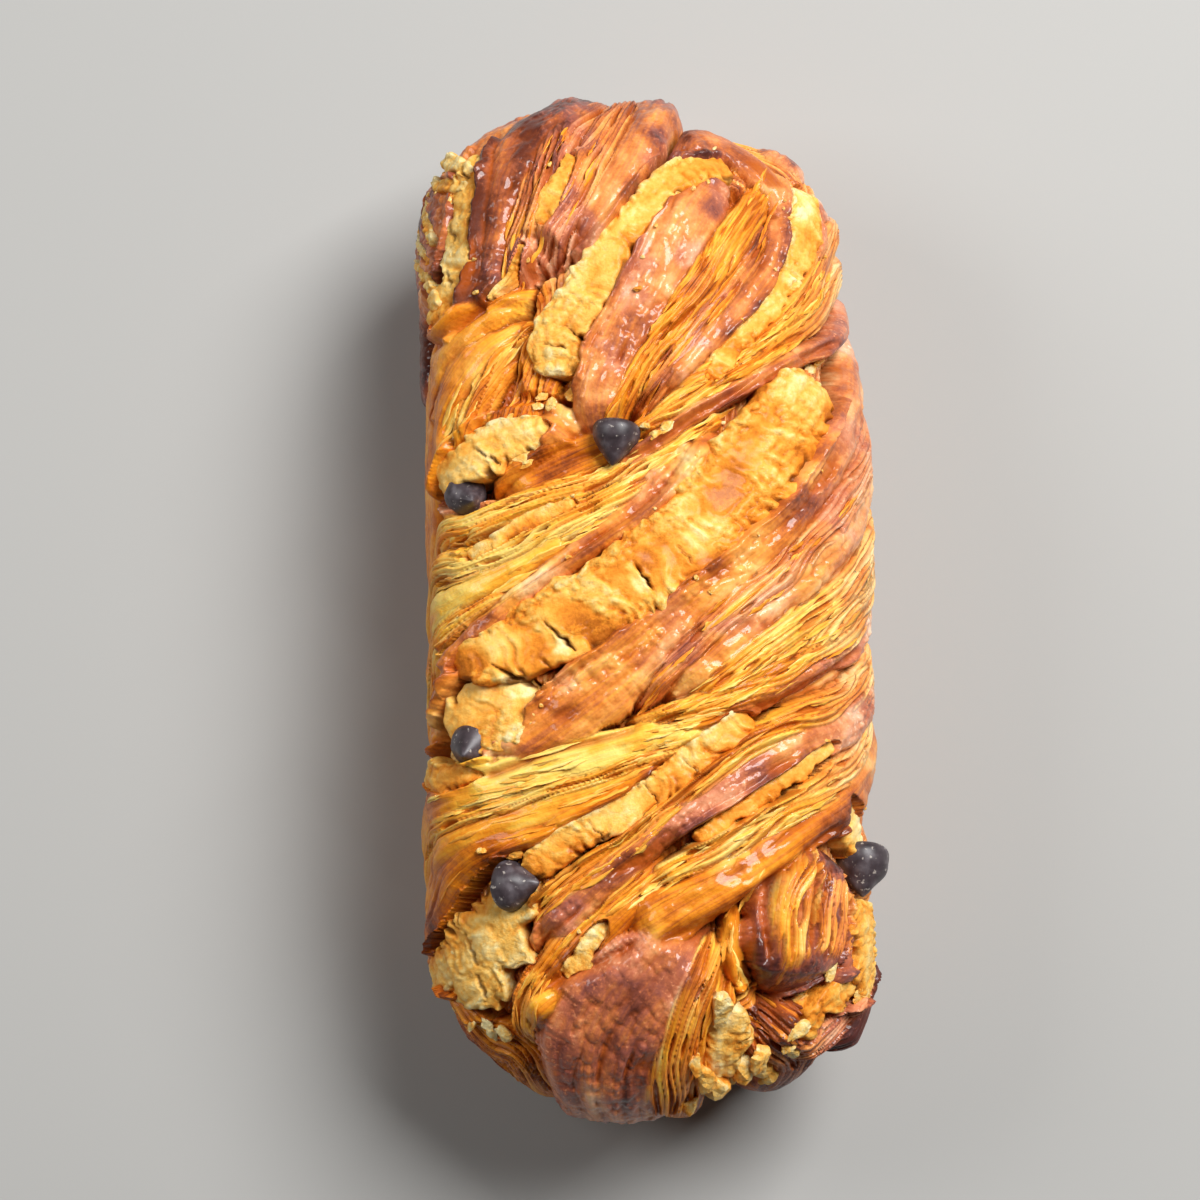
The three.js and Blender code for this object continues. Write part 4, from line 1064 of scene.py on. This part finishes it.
# Crumbs and blocks of halva: they broke off the ribbons when the loaf was twisted and baked, and
# stuck where they fell. A row is [across, along, length, width, thickness, heading in degrees], and
# small loose crumbs lie along the ribbons' edges.
CRUMBS = [
    [-20.5, 39, 2.8, 2.2, 2.2, 30], [-19, 36.8, 3, 2.4, 2.2, 80], [-21.3, 36.6, 2.2, 1.8, 1.8, 0],
    [-15, 39, 3.4, 3, 2.2, 45], [-26.5, 34.5, 4.4, 2.8, 2.4, 35], [-29.5, 33, 3.8, 2.8, 2.2, 20],
    [-23.5, 26, 5, 3.8, 1.1, 20], [-24, 33.5, 2.6, 2.2, 2, 0], [1.5, 30, 3.2, 2.2, 1.8, 30],
    [4, 31.5, 3.6, 2.2, 1.6, 40], [-0.5, 31.5, 2.2, 1.6, 1.6, 0], [-2.5, 60.5, 2, 1.7, 1.4, 0],
    [33, 45.5, 4.5, 2.4, 2, 35], [37, 47.5, 4, 2.4, 2, 30], [29, 43.5, 3.2, 1.8, 1.6, 30],
    [40, 50, 4, 2.2, 1.8, 30], [14, -86, 6, 5, 5, 70], [17, -90.5, 6.5, 5.5, 6, 40],
    [19.5, -94.5, 7, 6, 6, 10], [9.5, -95, 4.5, 3.4, 4, 80], [12, -99.5, 5.5, 4.5, 5, 60],
    [14.5, -103.5, 7.5, 6, 6, 20], [20.5, -102, 6.5, 5, 6, 50], [24, -98, 5.5, 4.5, 5, 100],
    [26, -104.5, 6, 4.5, 5, 10], [19, -109, 6, 4.5, 5, 0], [30, -108, 5, 4, 4, 30],
    [10, -107, 4, 3.5, 4, 50], [36, -81, 4, 3, 2.2, 70], [35.5, -85, 5.5, 3.8, 2.2, 80],
    [32.5, -88.5, 5.5, 4.2, 2.2, 60], [30, -92, 4.5, 3, 2.2, 40], [40, -85.5, 6.5, 4.5, 2, 10],
    [46, -88, 6.5, 4.2, 2, -15], [29, -95.5, 2.8, 2.2, 2, 0], [31, -97.5, 2.8, 2.2, 2, 30],
    [-35, -92.5, 3.4, 2.8, 2.2, 30], [-34, -95, 4, 2.8, 2.4, 70], [-30.5, -93.5, 4.6, 3.4, 2.8, 10],
    [-38, -93, 3, 2.4, 2, 0], [-57, -84, 5, 2.6, 1.2, 30], [-55, -89, 5, 2.4, 1.2, 60],
    [-50, -87, 5, 3.4, 1.4, 10], [-46, -91.5, 4, 2.6, 1.4, 40], [-40.5, -35, 4.6, 4, 2.6, 50],
    [-25, -56.5, 3.4, 2.2, 1.8, 10], [-18.5, -59, 3.2, 2.2, 1.8, 40], [-30, -56, 2, 1.6, 1.4, 0],
]
CRUMB_FACES = 7
CRUMB_RINGS = 11
CRUMB_SIDES = 16
CRUMB_MIDDLE = 0.3
LOOSE_CRUMBS = 110
RIBBONS_LENGTH = 560
LOOSE_SIZE = (0.4, 1.0)
LOOSE_OUT = (0.4, 0.9)


def surface_at(across, along):
    """Height of the dough over the body at any place: the four grid points about it, blended."""
    middle = grid_across[len(grid_across) // 2]
    rows, columns = np.arange(len(grid_along)), np.arange(len(middle))
    row = np.clip(np.interp(along, grid_along[:, 0], rows), 0, rows[-1] - 0.001)
    share = across / np.interp(along, grid_along[:, 0], grid_across[:, -1])
    column = np.clip(np.interp(share, middle / middle[-1], columns), 0, columns[-1] - 0.001)
    i, j = row.astype(int), column.astype(int)
    v, u = row - i, column - j
    low = close_mean[i, j] * (1 - u) + close_mean[i, j + 1] * u
    return low * (1 - v) + (close_mean[i + 1, j] * (1 - u) + close_mean[i + 1, j + 1] * u) * v


def crumb_rings(rows, seed):
    """Broken chunks: in each direction from the middle, the nearest of a few flat faces turned at random,
    with a grainy skin. They are turned to their heading and sunk by a fifth of their thickness."""
    across, along, long, wide, thick, heading = np.array(rows, float).T[:, :, None, None]
    number = np.arange(len(rows))[:, None, None]
    poles = np.linspace(-1.45, 1.45, CRUMB_RINGS)
    turns = np.linspace(0, 2 * np.pi, CRUMB_SIDES, endpoint=False)
    pole, turn = np.meshgrid(poles, turns, indexing="ij")
    way = np.stack([np.sin(pole), np.cos(pole) * np.cos(turn), np.cos(pole) * np.sin(turn)], -1)
    chance = np.random.default_rng(seed)
    face = unit(chance.normal(size=(len(rows), CRUMB_FACES, 3)))
    reach = chance.uniform(0.45, 1.0, (len(rows), 1, 1, CRUMB_FACES))
    facing = np.einsum("ijk,nfk->nijf", way, face)
    dent = np.minimum((reach / np.maximum(facing, 0.05)).min(-1), 1.2)
    x, y, z = (way[None, ..., k] * dent for k in range(3))
    skin = 1 + 0.16 * grain(4 * x + 9 * number, 4 * y + 5 * z, seed)
    ahead, beside = x * skin * long / 2, y * skin * wide / 2
    angle = np.radians(heading)
    point_across = across + ahead * np.cos(angle) - beside * np.sin(angle)
    point_along = along + ahead * np.sin(angle) + beside * np.cos(angle)
    height = surface_at(across, along) + thick * (CRUMB_MIDDLE + z * skin / 2)
    toast = 0.3 + 0.35 * grain(1.2 * x + 5 * number, 1.2 * y + 3 * z, seed + 1)
    toast = toast + 0.25 * grain(number * 3.7, 0 * x, seed + 2)
    values = {"run": ahead, "off": beside, "toast": toast, "gap": 0 * x, "crumbly": 0 * x + 1}
    return above_body(point_across, point_along, height), values


def loose_crumbs(points, chance):
    """Rows of small crumbs along a ribbon: random stations, a random side, out from the edge by a bell of
    distances, and random sizes and headings."""
    run, line, heading = smooth_line(points, 1.0)
    count = int(LOOSE_CRUMBS * run[-1] / RIBBONS_LENGTH)
    at = chance.integers(0, len(run), count)
    out = chance.choice([-1, 1], count) * (line[at, 2] / 2 + chance.normal(*LOOSE_OUT, count))
    size = chance.uniform(*LOOSE_SIZE, count)
    across = line[at, 0] - heading[at, 1] * out
    along = line[at, 1] + heading[at, 0] * out
    return np.stack([across, along, size * 1.3, size, size, 360 * chance.random(count)], -1)


scatter = np.random.default_rng(61)
loose_rows = [loose_crumbs(row[5:], scatter) for row in HALVA]
rings, values = crumb_rings(np.concatenate([CRUMBS, *loose_rows]), 62)
crumb_piece = make_piece("halva_crumbs", rings, values, halva_finish, smooth=False)
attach(crumb_piece, "root")

# Flakes of dough: the thin edges of the leaves, which dried in the oven and curled off the strands.
# They are of the same baked dough, a fifth of a millimetre thick, and hang on the strands by one
# side.
FLAKY = ("leaf", "flake", "silk")
FLAKE_SPACING = 3.2
FLAKE_THICK = 0.2
FLAKE_CLEAR = 0.1
FLAKE_FIELD = (40, 95)
FLAKE_LONG = (4, 12)
FLAKE_WIDE = (0.5, 1.2)
FLAKE_LIFT = (0.1, 0.7)
FLAKE_STATIONS = 14
FLAKE_CROSS = (0.5, 0.17, -0.17, -0.5)


def flake_places(chance):
    """Where flakes stand: random stations of the flaky strands on top of the loaf, as across, along,
    width, heading and browning."""
    rows = []
    for kind, toast, _, *points in all_strands:
        if kind in FLAKY:
            run, line, heading = smooth_line(points, 1.0)
            at = chance.integers(0, len(run), int(run[-1] / FLAKE_SPACING))
            rows.append(np.column_stack([line[at], heading[at], np.full(len(at), toast)]))
    rows = np.concatenate(rows)
    return rows[(np.abs(rows[:, :2]) < FLAKE_FIELD).all(1)]


def flake_rings(places, chance):
    """Thin lens shapes with ragged sides along the strands, at a random distance off the middle line.
    One side is curled up by a power of the way across, most at half the length, and the same shape a
    little lower closes each below."""
    across, along, width, ahead_x, ahead_y, toast = places.T[:, :, None, None]
    each = (len(places), 1, 1)
    off = chance.uniform(-0.45, 0.45, each) * width
    long = chance.uniform(*FLAKE_LONG, each)
    wide = chance.uniform(*FLAKE_WIDE, each)
    lift = chance.uniform(*FLAKE_LIFT, each)
    side = chance.choice([-1, 1], each)
    number = np.arange(len(places))[:, None, None]
    lengthwise = np.linspace(-0.98, 0.98, FLAKE_STATIONS)[:, None]
    crosswise = np.array(FLAKE_CROSS)
    bulge = 1 - lengthwise**2
    narrow = bulge * (1 + 0.7 * grain(3 * lengthwise + 11 * number, 2 * crosswise + 5, 63))
    beside = off + crosswise * wide * narrow
    ahead = lengthwise * long / 2
    point_across = across + ahead_x * ahead - ahead_y * beside
    point_along = along + ahead_y * ahead + ahead_x * beside
    curl = np.clip(0.5 + side * crosswise, 0, 1) ** 1.5
    uneven = 1 + 0.5 * grain(2 * lengthwise + 7 * number, 0 * crosswise + 3, 64)
    height = surface_at(point_across, point_along) + FLAKE_CLEAR + lift * curl * bulge * uneven
    height = np.concatenate([height, height[..., ::-1] - FLAKE_THICK], 2)
    point_across, point_along, beside, curl = (
        np.concatenate([part, part[..., ::-1]], 2) for part in (point_across, point_along, beside, curl)
    )
    blank = 0 * point_across
    values = {
        "run": blank + ahead,
        "off": beside,
        "toast": toast + blank - 0.25 * curl + 0.15 * grain(number * 1.7, blank, 65),
        "rosy": blank + 0.1,
        "gloss": blank + 0.3,
        "gap": blank,
        "hollow": blank,
    }
    return above_body(point_across, point_along, height), values


rings, values = flake_rings(flake_places(scatter), scatter)
flake_piece = make_piece("dough_flakes", rings, values, dough_finish)
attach(flake_piece, "root")

# The chips: drops of dark chocolate pressed into the dough with the halva. They kept their shape in
# the oven, and a pale bloom came up on them. A row is the middle as [across, along, height], the way
# the tip points (across, along, up) and the share of the full size.
CHIPS = {
    "chip_upper": ([-6.8, 28.6, 7.4], [-0.12, -1, 0.12], 0.98),
    "chip_left": ([-34.2, 18.8, 5.2], [0.7, -0.3, 0.4], 0.85),
    "chip_block": ([-32, -34.2, 7.2], [0.3, -0.4, 0.8], 0.98),
    "chip_lower": ([-24.4, -63, 7.4], [1, 0.06, 0.15], 1.0),
    "chip_edge": ([48, -58.8, 7.2], [-0.35, -0.9, 0.1], 1.15),
}
CHIP_RADIUS = 5.2
CHIP_HEIGHT = 9.6
CHIP_SIDES = 48
CHIP_SEED = 15000
# The profile from the base to the tip, as shares of the radius and the height.
CHIP_PROFILE = [
    [0.5, -0.42], [0.86, -0.4], [1, -0.26], [0.93, -0.04],
    [0.72, 0.14], [0.46, 0.31], [0.22, 0.47], [0.04, 0.56],
]


def chip_drop(middle, tip, size, seed):
    """A drop: a smooth profile of radius and height turned about the tip's direction, a little dented
    by a slow noise."""
    across, along, height = (np.array([value], float) for value in middle)
    up = body_normal(across, along)[0]
    right = unit(on_body(across + 1, along) - on_body(across - 1, along))[0]
    forward = np.cross(up, right)
    axis = unit(np.array(tip) @ np.stack([right, forward, up]))
    side = unit(np.cross(axis, forward))
    run, profile, _ = smooth_line(CHIP_PROFILE, 0.03)
    around, down = np.meshgrid(np.linspace(0, 2 * np.pi, CHIP_SIDES, endpoint=False), run)
    dent = 1 + 0.06 * grain(around / np.pi * 2, down * 3, seed)
    radius = profile[:, :1] * CHIP_RADIUS * size * dent
    out = np.cos(around)[..., None] * side + np.sin(around)[..., None] * np.cross(axis, side)
    centre = above_body(across, along, height + swell(across, along))[0]
    rings = centre + radius[..., None] * out + profile[:, 1:, None] * CHIP_HEIGHT * size * axis
    return rings, {"run": around, "off": down}


# Dark chocolate: tempered, then warmed until it bloomed. It gives the eye a satin brown black with a
# grey haze and a few pale specks.
CHOCOLATE_SHADES = ["#1e1517", "#2c2326", "#443a3e", "#686064", "#9c9494"]
BLOOM_SPECK = "#c9bfb4"
HAZE_MM = 2.5
BLOOM_SPECK_MM = 1.1


def bloomed_chocolate():
    """A soft noise picks the haze from a ramp, and the tops of a finer one are pale specks."""
    material, tree = new_material("bloomed_chocolate")
    place = add_node(tree, "TexCoord", output="Object")
    haze, speck = (
        add_node(tree, "TexNoise", {"Vector": place, "Scale": 1 / (size * MM), "Detail": detail})
        for size, detail in ((HAZE_MM, 4.0), (BLOOM_SPECK_MM, 3.0))
    )
    colour = add_node(tree, "ValToRGB", {0: haze}, shades=CHOCOLATE_SHADES)
    speck = add_node(tree, "MapRange", {0: speck, 1: 0.64, 2: 0.7, 3: 0.0, 4: 0.6})
    colour = add_node(tree, "Mix", {0: speck, 6: colour, 7: linear(BLOOM_SPECK)}, 2, data_type="RGBA")
    skin = add_node(tree, "BsdfPrincipled", {"Base Color": colour, "Roughness": 0.42})
    add_node(tree, "OutputMaterial", {"Surface": skin})
    return material


chocolate = bloomed_chocolate()
for number, (node, (middle, tip, size)) in enumerate(CHIPS.items()):
    rings, values = chip_drop(middle, tip, size, CHIP_SEED + number)
    drop = make_piece(node + "_drop", rings, values, chocolate)
    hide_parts(node)
    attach(drop, "root")

# The floor: a plain pale sheet, painted matt, that lies just under the loaf. It takes the loaf's
# shadow.
FLOOR_HALF = 3.0
FLOOR_LEVEL = -0.0002
FLOOR_SHADE = "#adaca9"
floor_signs = ((-1, -1), (1, -1), (1, 1), (-1, 1))
floor_corners = [(x * FLOOR_HALF, y * FLOOR_HALF, FLOOR_LEVEL) for x, y in floor_signs]
floor_mesh = bpy.data.meshes.new("floor")
floor_mesh.from_pydata(floor_corners, [], [(0, 1, 2, 3)])
floor_paint, floor_tree = new_material("matt_floor_paint")
floor_skin = add_node(floor_tree, "BsdfPrincipled", {"Base Color": linear(FLOOR_SHADE), "Roughness": 0.8})
add_node(floor_tree, "OutputMaterial", {"Surface": floor_skin})
floor_mesh.materials.append(floor_paint)
floor = bpy.data.objects.new("floor", floor_mesh)
bpy.context.scene.collection.objects.link(floor)

# The light: plain soft studio light from a broad lamp high on the right, a weak one on the left and
# an even pale surround. A lamp is its place and size in metres and its power in watts.
LAMPS = {
    "key_lamp": ((0.5, 0.45, 1.0), 0.6, 21.2),
    "fill_lamp": ((-0.7, 0.2, 0.7), 0.4, 2.9),
}
LAMP_AIM = (0, 0, 0.04)
SURROUND_SHADE = "#f4f3f0"
SURROUND_STRENGTH = 0.05
for name, (place, size, power) in LAMPS.items():
    lamp = bpy.data.lights.new(name, "AREA")
    lamp.size = size
    lamp.energy = power
    holder = bpy.data.objects.new(name, lamp)
    holder.location = place
    back = np.array(place) - np.array(LAMP_AIM)
    tilt = math.acos(back[2] / np.linalg.norm(back))
    holder.rotation_euler = (tilt, 0, math.atan2(back[1], back[0]) + math.pi / 2)
    bpy.context.scene.collection.objects.link(holder)
world = bpy.data.worlds.new("studio")
bpy.context.scene.world = world
world.use_nodes = True
surround = world.node_tree.nodes["Background"]
surround.inputs["Color"].default_value = linear(SURROUND_SHADE)
surround.inputs["Strength"].default_value = SURROUND_STRENGTH
bpy.context.scene.view_settings.view_transform = "Standard"

# The camera looks down on the loaf from the front, 8 degrees off the plumb line, as in the photo.
CAMERA_DISTANCE = 0.8
CAMERA_ELEVATION = math.radians(82)
CAMERA_AIM = (-0.0102, -0.0025, 0.060)
VIEW_WIDTH = 0.2542
SENSOR_WIDTH = 36.0
camera_data = bpy.data.cameras.new("camera")
camera_data.sensor_width = SENSOR_WIDTH
camera_data.lens = SENSOR_WIDTH * CAMERA_DISTANCE / VIEW_WIDTH
camera = bpy.data.objects.new("camera", camera_data)
camera.location = (
    CAMERA_AIM[0],
    CAMERA_AIM[1] - CAMERA_DISTANCE * math.cos(CAMERA_ELEVATION),
    CAMERA_AIM[2] + CAMERA_DISTANCE * math.sin(CAMERA_ELEVATION),
)
camera.rotation_euler = (math.pi / 2 - CAMERA_ELEVATION, 0, 0)
bpy.context.scene.collection.objects.link(camera)
bpy.context.scene.camera = camera
